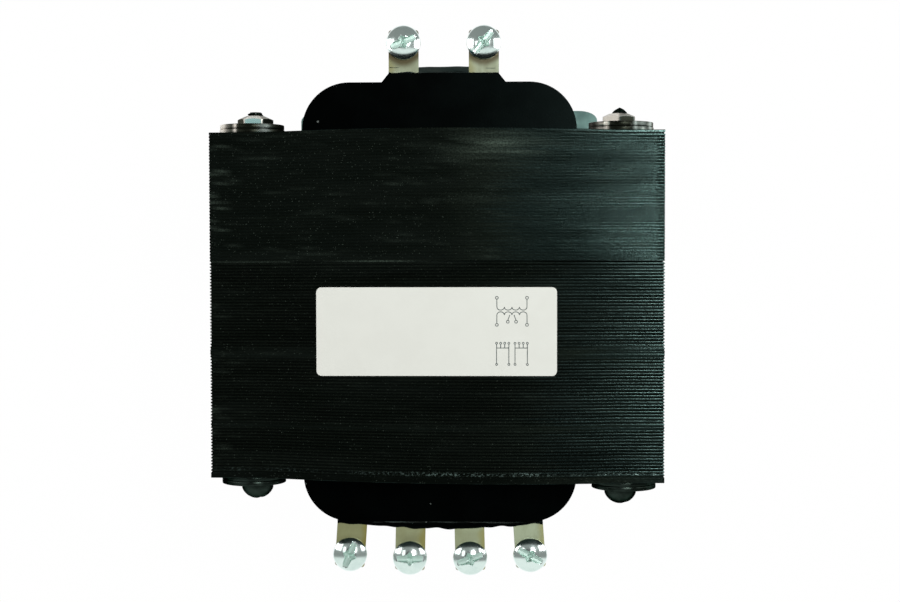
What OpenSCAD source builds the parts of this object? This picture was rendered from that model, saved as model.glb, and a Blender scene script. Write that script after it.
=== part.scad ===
// Control transformer, open core-and-coil type, standing on two slotted feet.
// X runs across the core, Y along the stack of laminations and Z up the centre leg.
// The origin is on the floor, at the middle of the four foot slots.

/* [Core] */
// Width of the centre leg
leg_w = 44.5; // [36:0.5:52]
// Width of each outer leg
outer_leg_w = 22.2; // [21:0.1:26]
// Width of each window between the centre leg and an outer leg
window_w = 22.2; // [19:0.1:28]
// Length of each window along the leg
window_h = 66.7; // [50:0.1:90]
// Height of each yoke
yoke_h = 22.2; // [21:0.1:26]
// Thickness of the stack of laminations
stack_t = 101.6; // [80:0.1:120]
// How much further the upper yoke's right end reaches at the front
front_splay = 1.2; // [0:0.1:2]
// How much further the upper yoke's right end reaches at the rear
rear_splay = 0.3; // [0:0.1:2]
// Height of the core above the floor
core_lift = 2; // [1:0.1:6]

/* [Clamping bolts] */
// Diameter of the bolts
bolt_d = 4.8; // [3.5:0.1:5.6]
// Clearance around a bolt in the holes of the core, the feet and the washers
bolt_clearance = 1.15; // [0.6:0.05:1.4]
// Gap between a bolt and the side of its hole that it leans to
lean_gap = 0.15; // [0.05:0.05:0.5]
// Clearance between a bolt and the bore of its nut
thread_clearance = 0.05; // [0.02:0.01:0.1]
// Diameter of the bolt heads
bolt_head_d = 9.4; // [7.5:0.1:11]
// Height of the rim of a bolt head
bolt_rim_h = 1.7; // [0.5:0.1:2.4]
// Height of the dome of a bolt head
bolt_dome_h = 3.2; // [1.2:0.1:3.6]
// Width of the slot in a bolt head
bolt_slot_w = 1.3; // [0.8:0.1:1.8]
// Depth of the slot in a bolt head
bolt_slot_depth = 1.4; // [0.6:0.1:2]
// Width of the nuts across their flats
nut_af = 9.5; // [7.5:0.1:11]
// Height of the nuts
nut_h = 2.8; // [2.4:0.1:5]
// Length of the upper bolts beyond their nuts
bolt_stickout = 1.5; // [0.5:0.1:4]
// Length of the lower bolts, which also hold the feet, beyond their nuts
lower_stickout = 0; // [0:0.1:3]
// How much further out the lower left bolt and its front washer sit
lower_left_shift = 0.5; // [0:0.1:0.8]
// Outer diameter of the washers
washer_d = 19.4; // [14:0.1:20.4]
// Thickness of the washers
washer_t = 2.8; // [1.2:0.1:3.2]

/* [Bobbin] */
// Gap between the centre leg and the tube of the bobbin
leg_gap = 0.4; // [0.1:0.05:0.8]
// Wall of the bobbin's tube
tube_wall = 1.6; // [1:0.1:2.5]
// Outer corner radius of the tube
tube_corner_r = 2.2; // [1.2:0.1:4]
// Thickness of the bobbin's flanges
flange_t = 1.6; // [1:0.1:2.4]
// Gap between each flange and its yoke
yoke_gap = 0.3; // [0.1:0.05:0.8]
// Gap between the flanges and each outer leg
outer_leg_gap = 2.4; // [1:0.1:4]
// Reach of the flanges beyond the stack
flange_reach = 16.7; // [15:0.1:22]
// Corner radius of the flanges
flange_corner_r = 14.5; // [6:0.5:18]
// Height of the raised edge that carries the X terminals
board_rise = 2.8; // [1:0.1:6]
// Width of the raised edge at its top
board_top_w = 33.4; // [30:0.1:40]
// Width of the raised edge at its foot
board_foot_w = 37.9; // [34:0.1:44]
// Offset of the raised edge and its terminals from the middle plane
board_offset = 1.4; // [0:0.1:4]

/* [Windings] */
// Build of the inner winding
inner_build = 5.8; // [4:0.1:7]
// Thickness of the insulation between the windings
layer_t = 0.6; // [0.3:0.1:1.2]
// Thickness of the outer wrap of the coil
wrap_t = 0.8; // [0.4:0.1:1.2]
// Setback of the wrap from the edge of the flanges
wrap_setback = 0.9; // [0.4:0.1:1.2]
// Margin between the lower flange and the windings
winding_margin = 2; // [0.5:0.1:5]

/* [Terminals] */
// Width of the tabs
tab_w = 9.2; // [7.5:0.1:11]
// Thickness of the tabs
tab_t = 0.8; // [0.5:0.05:1.4]
// Corner radius at the free end of a tab
tab_corner_r = 0.9; // [0.5:0.1:3]
// Length of tab held between the flange and its backing
tab_grip = 8; // [4:0.1:10]
// Distance from a screw's centre to the free end of its tab
tab_end = 4.3; // [3.8:0.1:7]
// Spacing of the two X tabs
x_tab_spacing = 24.6; // [18:0.1:32]
// Spacing of the four H tabs
h_tab_spacing = 18.1; // [12:0.1:21]
// Distance from the raised edge to the centres of the X screws
x_screw_reach = 9.3; // [7:0.1:16]
// Distance from the flange to the centres of the H screws
h_screw_reach = 10.5; // [7:0.1:16]
// How much further out the two middle H screws stand
h_middle_step = 1; // [0:0.1:2]
// Angle between neighbouring H tabs, which fan out a little
h_tab_fan = 2.6; // [0:0.1:5]
// Diameter of the terminal screws
screw_d = 4.8; // [3:0.1:5.2]
// Length of a terminal screw below its head
screw_len = 7; // [4:0.1:10]
// Diameter of the screw heads
screw_head_d = 10.5; // [9:0.1:12]
// Height of the rim of a screw head
screw_rim_h = 0.9; // [0.5:0.1:1.5]
// Height of the dome of a screw head
screw_dome_h = 2.1; // [1.2:0.1:3]
// Width of the slot in a screw head
slot_w = 1.5; // [0.8:0.1:2]
// Depth of the slot in a screw head
slot_depth = 1.3; // [0.6:0.1:1.8]
// Length of the short cross recess in a screw head
cross_len = 4.6; // [3:0.1:6]
// Height of the threaded collar under a tab
collar_h = 1.6; // [0.8:0.1:3]
// Wall of the threaded collar
collar_wall = 1.2; // [0.8:0.1:1.8]
// Reach of the backing strips beyond the edge they stand behind
backing_reach = 1.7; // [0.5:0.1:3]
// Thickness of the backing strips
backing_t = 1.6; // [0.8:0.1:2.4]

/* [Feet] */
// Thickness of the sheet of the feet
foot_t = 1.6; // [1:0.1:2.5]
// Inner bend radius of the feet
foot_bend_r = 0.8; // [0.4:0.1:1.5]
// Width of the floor flange of each foot
foot_w = 107; // [102:1:126]
// Reach of the floor flanges beyond the stack
foot_reach = 15.1; // [13.5:0.1:24]
// Width of the elliptical outer corners of the floor flanges
foot_corner_w = 6.5; // [2:0.5:9]
// Depth of those corners
foot_corner_d = 3.4; // [1:0.1:5]
// Margin of the upright leaf around its washers
leaf_margin = 0.5; // [0.2:0.1:1.2]
// Corner radius of the upright leaf
leaf_corner_r = 5; // [2:0.5:8]
// Distance from the stack to the centres of the slots
slot_offset = 8.5; // [7.5:0.1:9.5]
// Spacing of the two slots along one foot
foot_slot_spacing = 78; // [60:1:84]
// Width of the slots
foot_slot_w = 6.5; // [4:0.1:7.5]
// Length of the slots from end to end
foot_slot_len = 10; // [8.5:0.5:14]

/* [Label] */
// Width of the label
label_w = 70.5; // [40:0.5:100]
// Depth of the label
label_d = 26; // [15:0.5:40]
// Corner radius of the label
label_corner_r = 1.5; // [0.5:0.1:4]
// Thickness of the label
label_t = 0.2; // [0.1:0.05:0.5]
// Offset of the label from the middle of the yoke, towards the H terminals
label_offset = 7.6; // [0:0.1:20]

/* [Hidden] */
$fn = 64;
// Overlap of a cutting tool past the faces that it cuts
cut = 1;

// Core
core_w = leg_w + 2 * (window_w + outer_leg_w);
core_h = window_h + 2 * yoke_h;
window_x = (leg_w + window_w) / 2;
window_z = core_lift + yoke_h;
upper_yoke_z = window_z + window_h;
core_top_z = core_lift + core_h;
hole_x = (core_w - outer_leg_w) / 2;
bolt_x = hole_x - bolt_clearance + lean_gap;
lower_bolt_z = core_lift + yoke_h / 2;
upper_bolt_z = core_top_z - yoke_h / 2;
hole_d = bolt_d + 2 * bolt_clearance;
// Middle of the upper yoke, between its washers, where its thickness along Y changes
splay_x = hole_x - washer_d / 2 - bolt_clearance;

// Bobbin, with widths along X and depths along Y
leg_hole_w = leg_w + 2 * leg_gap;
leg_hole_d = stack_t + 2 * leg_gap;
tube_w = leg_hole_w + 2 * tube_wall;
tube_d = leg_hole_d + 2 * tube_wall;
flange_w = leg_w + 2 * (window_w - outer_leg_gap);
flange_d = stack_t + 2 * flange_reach;
lower_flange_z = window_z + yoke_gap;
upper_flange_z = upper_yoke_z - yoke_gap - flange_t;

// Windings, from the inside out
inner_w = tube_w + 2 * inner_build;
inner_d = tube_d + 2 * inner_build;
inner_r = tube_corner_r + inner_build;
layer_w = inner_w + 2 * layer_t;
layer_d = inner_d + 2 * layer_t;
layer_r = inner_r + layer_t;
wrap_w = flange_w - 2 * wrap_setback;
wrap_d = flange_d - 2 * wrap_setback;
wrap_r = flange_corner_r - wrap_setback;
outer_w = wrap_w - 2 * wrap_t;
outer_d = wrap_d - 2 * wrap_t;
outer_r = wrap_r - wrap_t;

// Terminals
tab_z = upper_flange_z - tab_t;
backing_z = tab_z - backing_t;
winding_z = lower_flange_z + flange_t + winding_margin;
winding_h = backing_z - winding_z;
flange_y = flange_d / 2;
board_y = flange_y + board_rise;
x_backing_w = x_tab_spacing + tab_w;
h_backing_w = 3 * h_tab_spacing + tab_w;
// Each terminal: name, X place at the edge, side of the stack (1 or -1), Y of the edge,
// reach to its screw, direction from straight out and angle of the screw's slot
TERMINALS = [
    ["x1", board_offset - x_tab_spacing / 2, 1, board_y, x_screw_reach, 0, 22],
    ["x2", board_offset + x_tab_spacing / 2, 1, board_y, x_screw_reach, 0, 50],
    ["h1", -1.5 * h_tab_spacing, -1, flange_y, h_screw_reach, -1.5 * h_tab_fan, 67],
    ["h2", -0.5 * h_tab_spacing, -1, flange_y, h_screw_reach + h_middle_step, -0.5 * h_tab_fan, 0],
    ["h3", 0.5 * h_tab_spacing, -1, flange_y, h_screw_reach + h_middle_step, 0.5 * h_tab_fan, 20],
    ["h4", 1.5 * h_tab_spacing, -1, flange_y, h_screw_reach, 1.5 * h_tab_fan, -28]
];

// Feet
leaf_h = washer_d + 2 * leaf_margin;
leaf_w = 2 * hole_x + leaf_h;

// Each bolt: name, side (1 or -1), height, distances from the ends of the stack to the seats of
// its front and rear washers, turn of its nut from lying with a flat up, X place of its rear washer,
// length beyond its nut, X place of the bolt and X place of its front washer
BOLTS = [
    ["upper_left", -1, upper_bolt_z, 0, 0, 0, hole_x, bolt_stickout, bolt_x, hole_x],
    ["upper_right", 1, upper_bolt_z, front_splay, rear_splay, 30, bolt_x, bolt_stickout, bolt_x, hole_x],
    [
        "lower_left", -1, lower_bolt_z, foot_t, foot_t, 8, hole_x, lower_stickout,
        bolt_x + lower_left_shift, hole_x + lower_left_shift
    ],
    ["lower_right", 1, lower_bolt_z, foot_t, foot_t, 19, hole_x, lower_stickout, bolt_x, hole_x]
];

// Rectangle with round corners, centred on the origin
module rounded_rectangle(w, d, r) {
    square([w - 2 * r, d], center = true);
    square([w, d - 2 * r], center = true);
    for (x = [-1, 1], y = [-1, 1])
        translate([x * (w / 2 - r), y * (d / 2 - r)]) circle(r);
}

// Slot with round ends, centred on the origin and running along X
module slot_outline(length, w) {
    square([length - w, w], center = true);
    for (x = [-1, 1]) translate([x * (length - w) / 2, 0]) circle(d = w);
}

// Plate with round corners, standing on the XY plane
module rounded_plate(w, d, r, t) {
    linear_extrude(t) rounded_rectangle(w, d, r);
}

// Closed band between two outlines, each given as [width, depth, corner radius]
module band(outer, inner, h) {
    linear_extrude(h) difference() {
        rounded_rectangle(outer[0], outer[1], outer[2]);
        rounded_rectangle(inner[0], inner[1], inner[2]);
    }
}

// Disc along Y at the height and side of one bolt, at a distance x from the middle and starting at y
module bolt_disc(b, x, y, d, t) {
    translate([b[1] * x, y, b[2]]) rotate([-90, 0, 0]) cylinder(d = d, h = t);
}

// Lower yoke with its three legs
module core_e_stack() {
    color("#101817") difference() {
        translate([-core_w / 2, -stack_t / 2, core_lift]) cube([core_w, stack_t, yoke_h + window_h]);
        for (side = [-1, 1])
            translate([side * window_x - window_w / 2, -stack_t / 2 - cut, window_z])
                cube([window_w, stack_t + 2 * cut, window_h + cut]);
        for (b = BOLTS)
            if (b[2] < upper_yoke_z)
                bolt_disc(b, hole_x, -stack_t / 2 - cut, hole_d, stack_t + 2 * cut);
    }
}

// Upper yoke, which closes the magnetic path over the legs; its right end is a little thicker
module core_i_stack() {
    front_y = -stack_t / 2 - front_splay;
    rear_y = stack_t / 2 + rear_splay;
    color("#101817") difference() {
        translate([0, 0, upper_yoke_z]) linear_extrude(yoke_h) polygon([
            [-core_w / 2, -stack_t / 2], [-splay_x, -stack_t / 2],
            [splay_x, front_y], [core_w / 2, front_y],
            [core_w / 2, rear_y], [splay_x, rear_y],
            [-splay_x, stack_t / 2], [-core_w / 2, stack_t / 2]
        ]);
        for (b = BOLTS)
            if (b[2] > upper_yoke_z)
                bolt_disc(b, hole_x, front_y - cut, hole_d, rear_y - front_y + 2 * cut);
    }
}

// Tube around the centre leg between two flanges; the upper flange carries the X terminal edge
module bobbin() {
    tube_h = upper_flange_z + flange_t - lower_flange_z;
    color("#0b1110") difference() {
        union() {
            translate([0, 0, lower_flange_z]) {
                rounded_plate(flange_w, flange_d, flange_corner_r, flange_t);
                rounded_plate(tube_w, tube_d, tube_corner_r, tube_h);
            }
            translate([0, 0, upper_flange_z]) {
                rounded_plate(flange_w, flange_d, flange_corner_r, flange_t);
                translate([board_offset, 0]) linear_extrude(flange_t) polygon([
                    [-board_foot_w / 2, flange_y - cut], [board_foot_w / 2, flange_y - cut],
                    [board_foot_w / 2, flange_y], [board_top_w / 2, board_y],
                    [-board_top_w / 2, board_y], [-board_foot_w / 2, flange_y]
                ]);
            }
        }
        translate([-leg_hole_w / 2, -leg_hole_d / 2, lower_flange_z - cut])
            cube([leg_hole_w, leg_hole_d, tube_h + 2 * cut]);
    }
}

// Winding next to the tube
module inner_winding() {
    color("#7a3f1c") translate([0, 0, winding_z])
        band([inner_w, inner_d, inner_r], [tube_w, tube_d, tube_corner_r], winding_h);
}

// Insulation between the two windings
module layer_insulation() {
    color("#c9b98c") translate([0, 0, winding_z])
        band([layer_w, layer_d, layer_r], [inner_w, inner_d, inner_r], winding_h);
}

// Winding around the insulation
module outer_winding() {
    color("#7a3f1c") translate([0, 0, winding_z])
        band([outer_w, outer_d, outer_r], [layer_w, layer_d, layer_r], winding_h);
}

// Varnished wrap around the coil
module coil_wrap() {
    color("#15130f") translate([0, 0, winding_z])
        band([wrap_w, wrap_d, wrap_r], [outer_w, outer_d, outer_r], winding_h);
}

// Strip that backs a row of tabs, from their held ends to just beyond the edge
module backing_strip(x, w, edge, side) {
    depth = tab_grip + backing_reach;
    color("#0d0d0c") translate([x, side * (edge - tab_grip + depth / 2), backing_z + backing_t / 2])
        cube([w, depth, backing_t], center = true);
}

// Places its children at the edge beside one terminal, with +Y running out along the tab
module at_terminal(t) {
    translate([t[1], t[2] * t[3], tab_z]) rotate([0, 0, t[2] > 0 ? t[5] : 180 + t[5]]) children();
}

// Flat tab with a threaded collar below its screw
module terminal_tab(t) {
    bore_d = screw_d + 2 * thread_clearance;
    length = tab_grip + t[4] + tab_end;
    color("#b9b594") at_terminal(t) difference() {
        union() {
            translate([0, length / 2 - tab_grip, 0]) rounded_plate(tab_w, length, tab_corner_r, tab_t);
            translate([0, t[4], -collar_h])
                cylinder(d = bore_d + 2 * collar_wall, h = collar_h + tab_t);
        }
        translate([0, t[4], -collar_h - cut]) cylinder(d = bore_d, h = collar_h + tab_t + 2 * cut);
    }
}

// Round head with a domed top and a slot along X, standing on the XY plane
module domed_head(d, rim_h, dome_h, slot_w, slot_depth) {
    head_h = rim_h + dome_h;
    // Radius of the sphere whose cap spans the head
    dome_r = (pow(d / 2, 2) + pow(dome_h, 2)) / (2 * dome_h);
    difference() {
        intersection() {
            cylinder(d = d, h = head_h);
            translate([0, 0, head_h - dome_r]) sphere(dome_r);
        }
        translate([-d, -slot_w / 2, head_h - slot_depth]) cube([2 * d, slot_w, head_h]);
    }
}

// Binding screw with a slot and a cross recess in its head
module terminal_screw(t) {
    // Turn of the head against its tab that leaves the slot at its own angle to X
    turn = t[6] - (t[2] > 0 ? t[5] : 180 + t[5]);
    color("#c9cfce") at_terminal(t) translate([0, t[4], tab_t]) rotate([0, 0, turn]) difference() {
        union() {
            domed_head(screw_head_d, screw_rim_h, screw_dome_h, slot_w, slot_depth);
            translate([0, 0, -screw_len]) cylinder(d = screw_d, h = screw_len + screw_rim_h / 2);
        }
        translate([-slot_w / 2, -cross_len / 2, screw_rim_h + screw_dome_h - slot_depth])
            cube([slot_w, cross_len, slot_depth + cut]);
    }
}

// Bolt along Y with its head at the front
module clamp_bolt(b) {
    front_y = stack_t / 2 + b[3] + washer_t;
    rear_y = stack_t / 2 + b[4] + washer_t;
    length = front_y + rear_y + nut_h + b[7];
    color("#23282a") translate([b[1] * b[8], -front_y, b[2]]) rotate([90, 0, 0]) {
        domed_head(bolt_head_d, bolt_rim_h, bolt_dome_h, bolt_slot_w, bolt_slot_depth);
        translate([0, 0, -length]) cylinder(d = bolt_d, h = length + bolt_rim_h / 2);
    }
}

// Hexagonal nut at the rear end of a bolt
module clamp_nut(b) {
    rear_y = stack_t / 2 + b[4] + washer_t;
    color("#b9bdbb") translate([b[1] * b[8], rear_y, b[2]]) rotate([-90, 0, 0]) difference() {
        rotate([0, 0, b[5]]) cylinder(d = nut_af / cos(30), h = nut_h, $fn = 6);
        translate([0, 0, -cut]) cylinder(d = bolt_d + 2 * thread_clearance, h = nut_h + 2 * cut);
    }
}

// Washer at the front (side -1) or the rear (side 1) of the stack
module clamp_washer(b, side) {
    start = side > 0 ? stack_t / 2 + b[4] : -stack_t / 2 - b[3] - washer_t;
    x = side > 0 ? b[6] : b[9];
    color(side > 0 ? "#b9bdbb" : "#23282a") difference() {
        bolt_disc(b, x, start, washer_d, washer_t);
        bolt_disc(b, x, start - cut, hole_d, washer_t + 2 * cut);
    }
}

// Quarter-plane block from the origin with its corner at the origin rounded
module bend_block(w, h, r) {
    translate([r, 0]) square([w - r, h]);
    translate([0, r]) square([w, h - r]);
    translate([r, r]) circle(r);
}

// Outline of a floor flange whose outer corners are quarter ellipses, from inside the stack to its edge
module floor_outline() {
    half_w = foot_w / 2;
    turns = [0:15:90];
    polygon(concat(
        [[-half_w, -foot_reach], [half_w, -foot_reach]],
        [for (a = turns) [half_w - foot_corner_w * (1 - cos(a)), foot_reach - foot_corner_d * (1 - sin(a))]],
        [for (a = turns) [-half_w + foot_corner_w * (1 - sin(a)), foot_reach - foot_corner_d * (1 - cos(a))]]
    ));
}

// Bent foot with an upright leaf on the stack and a slotted flange on the floor
module foot(side) {
    color("#8d9795") rotate([0, 0, side > 0 ? 0 : 180]) translate([0, stack_t / 2, 0]) difference() {
        union() {
            // Bent sheet, trimmed to the outline of the floor flange
            intersection() {
                translate([-foot_w / 2 - cut, 0, 0]) rotate([90, 0, 90])
                    linear_extrude(foot_w + 2 * cut) difference() {
                        bend_block(foot_reach + cut, lower_bolt_z, foot_bend_r + foot_t);
                        translate([foot_t, foot_t])
                            bend_block(foot_reach + cut, lower_bolt_z, foot_bend_r);
                    }
                translate([0, 0, -cut]) linear_extrude(lower_bolt_z + 2 * cut) floor_outline();
            }
            // Leaf that the lower bolts hold against the stack
            translate([0, foot_t, lower_bolt_z]) rotate([90, 0, 0])
                rounded_plate(leaf_w, leaf_h, leaf_corner_r, foot_t);
        }
        for (x = [-1, 1]) {
            translate([x * foot_slot_spacing / 2, slot_offset, -cut]) linear_extrude(foot_t + 2 * cut)
                slot_outline(foot_slot_len, foot_slot_w);
            translate([x * hole_x, -cut, lower_bolt_z]) rotate([-90, 0, 0])
                cylinder(d = hole_d, h = foot_t + 2 * cut);
        }
    }
}

// Label on the upper yoke
module rating_label() {
    color("#eef0ee") translate([0, -label_offset, core_top_z])
        rounded_plate(label_w, label_d, label_corner_r, label_t);
}

core_e_stack();
core_i_stack();
bobbin();
inner_winding();
layer_insulation();
outer_winding();
coil_wrap();
backing_strip(board_offset, x_backing_w, board_y, 1);  // x_terminal_backing
backing_strip(0, h_backing_w, flange_y, -1);  // h_terminal_backing
for (t = TERMINALS) {
    terminal_tab(t);
    terminal_screw(t);
}
for (b = BOLTS) {
    clamp_bolt(b);
    clamp_nut(b);
    clamp_washer(b, -1);
    clamp_washer(b, 1);
}
foot(-1);  // front_foot
foot(1);  // rear_foot
rating_label();
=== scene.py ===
"""Looks of an open core-and-coil control transformer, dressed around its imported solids."""

import logging
from collections.abc import Callable, Sequence
from dataclasses import dataclass, fields
from enum import Enum
from math import cos, pi, radians, sin, sqrt
from typing import ClassVar

import bmesh
import bpy
import numpy as np
from mathutils import Matrix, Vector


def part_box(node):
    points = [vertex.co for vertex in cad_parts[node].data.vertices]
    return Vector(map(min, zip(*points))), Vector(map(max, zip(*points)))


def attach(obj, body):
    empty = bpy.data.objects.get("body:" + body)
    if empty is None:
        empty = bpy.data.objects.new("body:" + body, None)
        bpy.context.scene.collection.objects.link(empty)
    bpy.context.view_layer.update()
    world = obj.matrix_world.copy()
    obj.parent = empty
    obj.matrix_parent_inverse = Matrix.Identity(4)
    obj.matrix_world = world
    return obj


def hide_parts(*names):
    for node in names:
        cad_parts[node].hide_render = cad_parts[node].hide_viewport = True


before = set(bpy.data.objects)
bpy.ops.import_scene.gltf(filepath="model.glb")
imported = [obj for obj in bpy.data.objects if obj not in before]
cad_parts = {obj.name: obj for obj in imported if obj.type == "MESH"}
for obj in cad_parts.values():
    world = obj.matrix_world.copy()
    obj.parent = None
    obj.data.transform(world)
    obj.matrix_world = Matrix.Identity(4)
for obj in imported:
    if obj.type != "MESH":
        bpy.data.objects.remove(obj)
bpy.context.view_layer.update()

Array = np.ndarray
Pair = tuple[float, float]
Triple = tuple[float, float, float]
Socket = bpy.types.NodeSocket
Material = bpy.types.Material
Piece = bpy.types.Object

MM = 0.001
BODY = "root"
WELD_DISTANCE = 0.004 * MM
SAME_PLACE = 0.01 * MM
SEAT_OVERLAP = 0.2 * MM
THREAD_DIAMETER = 4.8 * MM
LOG = logging.getLogger("transformer")


class Corner(Enum):
    """The four corners of the core that a clamping bolt holds, with the turn of each nut in degrees."""

    UPPER_LEFT = ("upper_left", 0.0)
    UPPER_RIGHT = ("upper_right", 26.0)
    LOWER_LEFT = ("lower_left", 8.0)
    LOWER_RIGHT = ("lower_right", 19.0)

    @property
    def suffix(self) -> str:
        """End of the names of this corner's nodes."""
        return self.value[0]

    @property
    def nut_turn(self) -> float:
        """Turn of the nut from lying with one flat up, in radians."""
        return radians(self.value[1])


class Drive(Enum):
    """Recess in the head of a screw or bolt."""

    SLOT = "slot"
    SLOT_AND_CROSS = "slot and cross"


@dataclass(frozen=True)
class Block:
    """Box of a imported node: its lowest and highest corners in metres."""

    low: Array
    high: Array

    @classmethod
    def of(cls, node: str) -> "Block":
        """Box of the named node."""
        low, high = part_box(node)
        return cls(np.array(low), np.array(high))

    @property
    def centre(self) -> Array:
        """Middle of the box."""
        return (self.low + self.high) / 2

    @property
    def size(self) -> Array:
        """Lengths of the box along X, Y and Z."""
        return self.high - self.low


@dataclass(frozen=True)
class Place:
    """Local axes in the row frame: an origin and three unit vectors, one in each row of axes."""

    origin: Array
    axes: Array

    @classmethod
    def upright(cls, origin: Sequence[float], turn: float = 0.0) -> "Place":
        """Axes at origin, turned about Z by the angle turn in radians."""
        c, s = cos(turn), sin(turn)
        return cls(np.array(origin), np.array([[c, s, 0.0], [-s, c, 0.0], [0.0, 0.0, 1.0]]))

    @classmethod
    def along_y(cls, origin: Sequence[float], side: int, turn: float = 0.0) -> "Place":
        """Axes at origin whose local Z points along Y times side, turned about it by turn."""
        up = np.array([0.0, float(side), 0.0])
        first = np.array([cos(turn), 0.0, sin(turn)])
        return cls(np.array(origin), np.array([first, np.cross(up, first), up]))

    def world(self, local: Array) -> Array:
        """Points given in these axes, in the row frame."""
        return self.origin + local @ self.axes


# Lines and surfaces


def smooth_step(value: Array | float, low: float, high: float) -> Array:
    """Rise from 0 at low to 1 at high.

    Formula: with t the share of the way from low to high, from 0 to 1, three t squared less two t cubed.
    """
    t = np.clip((np.asarray(value, float) - low) / (high - low), 0.0, 1.0)
    return t * t * (3.0 - 2.0 * t)


def bell(value: Array, centre: float, half_width: float) -> Array:
    """Bump of height 1 at centre: e to minus the square of the distance over the half width."""
    return np.exp(-(((value - centre) / half_width) ** 2))


@dataclass(frozen=True)
class Wander:
    """Smooth random line made of sine waves with random phases, for each of a number of rows."""

    seed: int
    longest: float
    waves: int = 5
    rows: int = 1

    def along(self, distance: Array) -> Array:
        """Values near -1 to 1, with one row for each row of this line and one column for each distance.

        Formula: the sum over n of sin(2 pi n distance / longest + phase n) / sqrt(n), over its own scale.
        """
        rng = np.random.default_rng(self.seed)
        order = np.arange(1, self.waves + 1)
        phase = rng.uniform(0.0, 2.0 * pi, (self.rows, self.waves))
        angle = 2.0 * pi * order * np.asarray(distance, float)[:, None] / self.longest
        total = (np.sin(angle[None] + phase[:, None]) / np.sqrt(order)).sum(axis=2)
        return total / sqrt((1.0 / order).sum())


def full_turn(steps: int) -> Array:
    """Angles of a full turn in equal steps, starting from 0."""
    return np.linspace(0.0, 2.0 * pi, steps, endpoint=False)


def polar(angle: Array, radius: Array | float, height: Array | float) -> Array:
    """Points about local Z: (r cos a, r sin a, h) for each angle a, radius r and height h."""
    return np.stack(np.broadcast_arrays(radius * np.cos(angle), radius * np.sin(angle), height), axis=-1)


def turned(profile: Array, sectors: int) -> Array:
    """Surface of revolution about local Z, from rows of radius and height."""
    return polar(full_turn(sectors), profile[:, :1], profile[:, 1:])


def run_length(path: Array) -> Array:
    """Length of a path up to each of its points."""
    return np.concatenate([[0.0], np.cumsum(np.linalg.norm(np.diff(path, axis=0), axis=1))])


def round_rectangle(width: float, depth: float, radius: float, corner_steps: int = 8) -> Array:
    """Outline of a rectangle with round corners, centred on the origin.

    Formula: each corner is a quarter circle about a centre set in from both sides by the radius.
    """
    angle = np.arange(4)[:, None] * pi / 2 + np.linspace(0.0, pi / 2, corner_steps + 1)
    sign = np.array([[1, 1], [-1, 1], [-1, -1], [1, -1]])[:, None, :]
    centre = sign * np.array([width / 2 - radius, depth / 2 - radius])
    return (centre + radius * np.stack([np.cos(angle), np.sin(angle)], axis=-1)).reshape(-1, 2)


def subdivided(outline: Array, spacing: float) -> Array:
    """Closed outline with its long sides cut into steps of at most the spacing."""
    ahead = np.roll(outline, -1, axis=0)
    counts = np.maximum(1, np.ceil(np.linalg.norm(ahead - outline, axis=1) / spacing)).astype(int)
    share = np.concatenate([np.arange(n) / n for n in counts])[:, None]
    return np.repeat(outline, counts, axis=0) * (1.0 - share) + np.repeat(ahead, counts, axis=0) * share


def stacked(outline: Callable[[float], Array], rings: Sequence[Pair], cap_steps: int = 4) -> Array:
    """Closed slab from rings of an outline, each given by its inset and height.

    Formula: each ring is the outline at its inset, lifted to its height; the first and last rings shrink in
    equal steps to their middles, which closes both faces.

    Args:
        outline: Function from an inset to the outline's points.
        rings: Inset and height of each ring.
        cap_steps: Steps in which both faces close.

    Returns:
        Points as rings by points of the outline by 3.
    """
    loops = np.stack([np.column_stack([outline(i), np.full(len(outline(i)), h)]) for i, h in rings])
    share = np.arange(cap_steps)[:, None, None] / cap_steps
    first, last = loops[:1], loops[-1:]
    low = first.mean(1, keepdims=True) + share * (first - first.mean(1, keepdims=True))
    top = last.mean(1, keepdims=True) + share[::-1] * (last - last.mean(1, keepdims=True))
    return np.concatenate([low, loops, top])


def swept(path: Array, sections: Array) -> Array:
    """Tube of the given sections carried along a path, closed at both ends.

    Formula: section points are offsets added to each path point; the end sections shrink to their middles.

    Args:
        path: Rows of points.
        sections: Offsets as rows of the path by points round the section by 3.

    Returns:
        Points as two more rows than the path by points round the section by 3.
    """
    body = path[:, None, :] + sections
    ends = [np.repeat(body[i].mean(0)[None], sections.shape[1], axis=0)[None] for i in (0, -1)]
    return np.concatenate([ends[0], body, ends[1]])


def grid_quads(rows: int, columns: int, wrap: bool = False) -> Array:
    """Corner numbers of the faces of a grid of points, whose last column joins the first if it wraps."""
    index = np.arange(rows * columns).reshape(rows, columns)
    if wrap:
        index = np.concatenate([index, index[:, :1]], axis=1)
    corners = index[:-1, :-1], index[:-1, 1:], index[1:, 1:], index[1:, :-1]
    return np.stack(corners, axis=-1).reshape(-1, 4)


def added(name: str, data: bpy.types.ID) -> Piece:
    """New object with that data, linked to the scene."""
    made = bpy.data.objects.new(name, data)
    bpy.context.scene.collection.objects.link(made)
    return made


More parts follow.
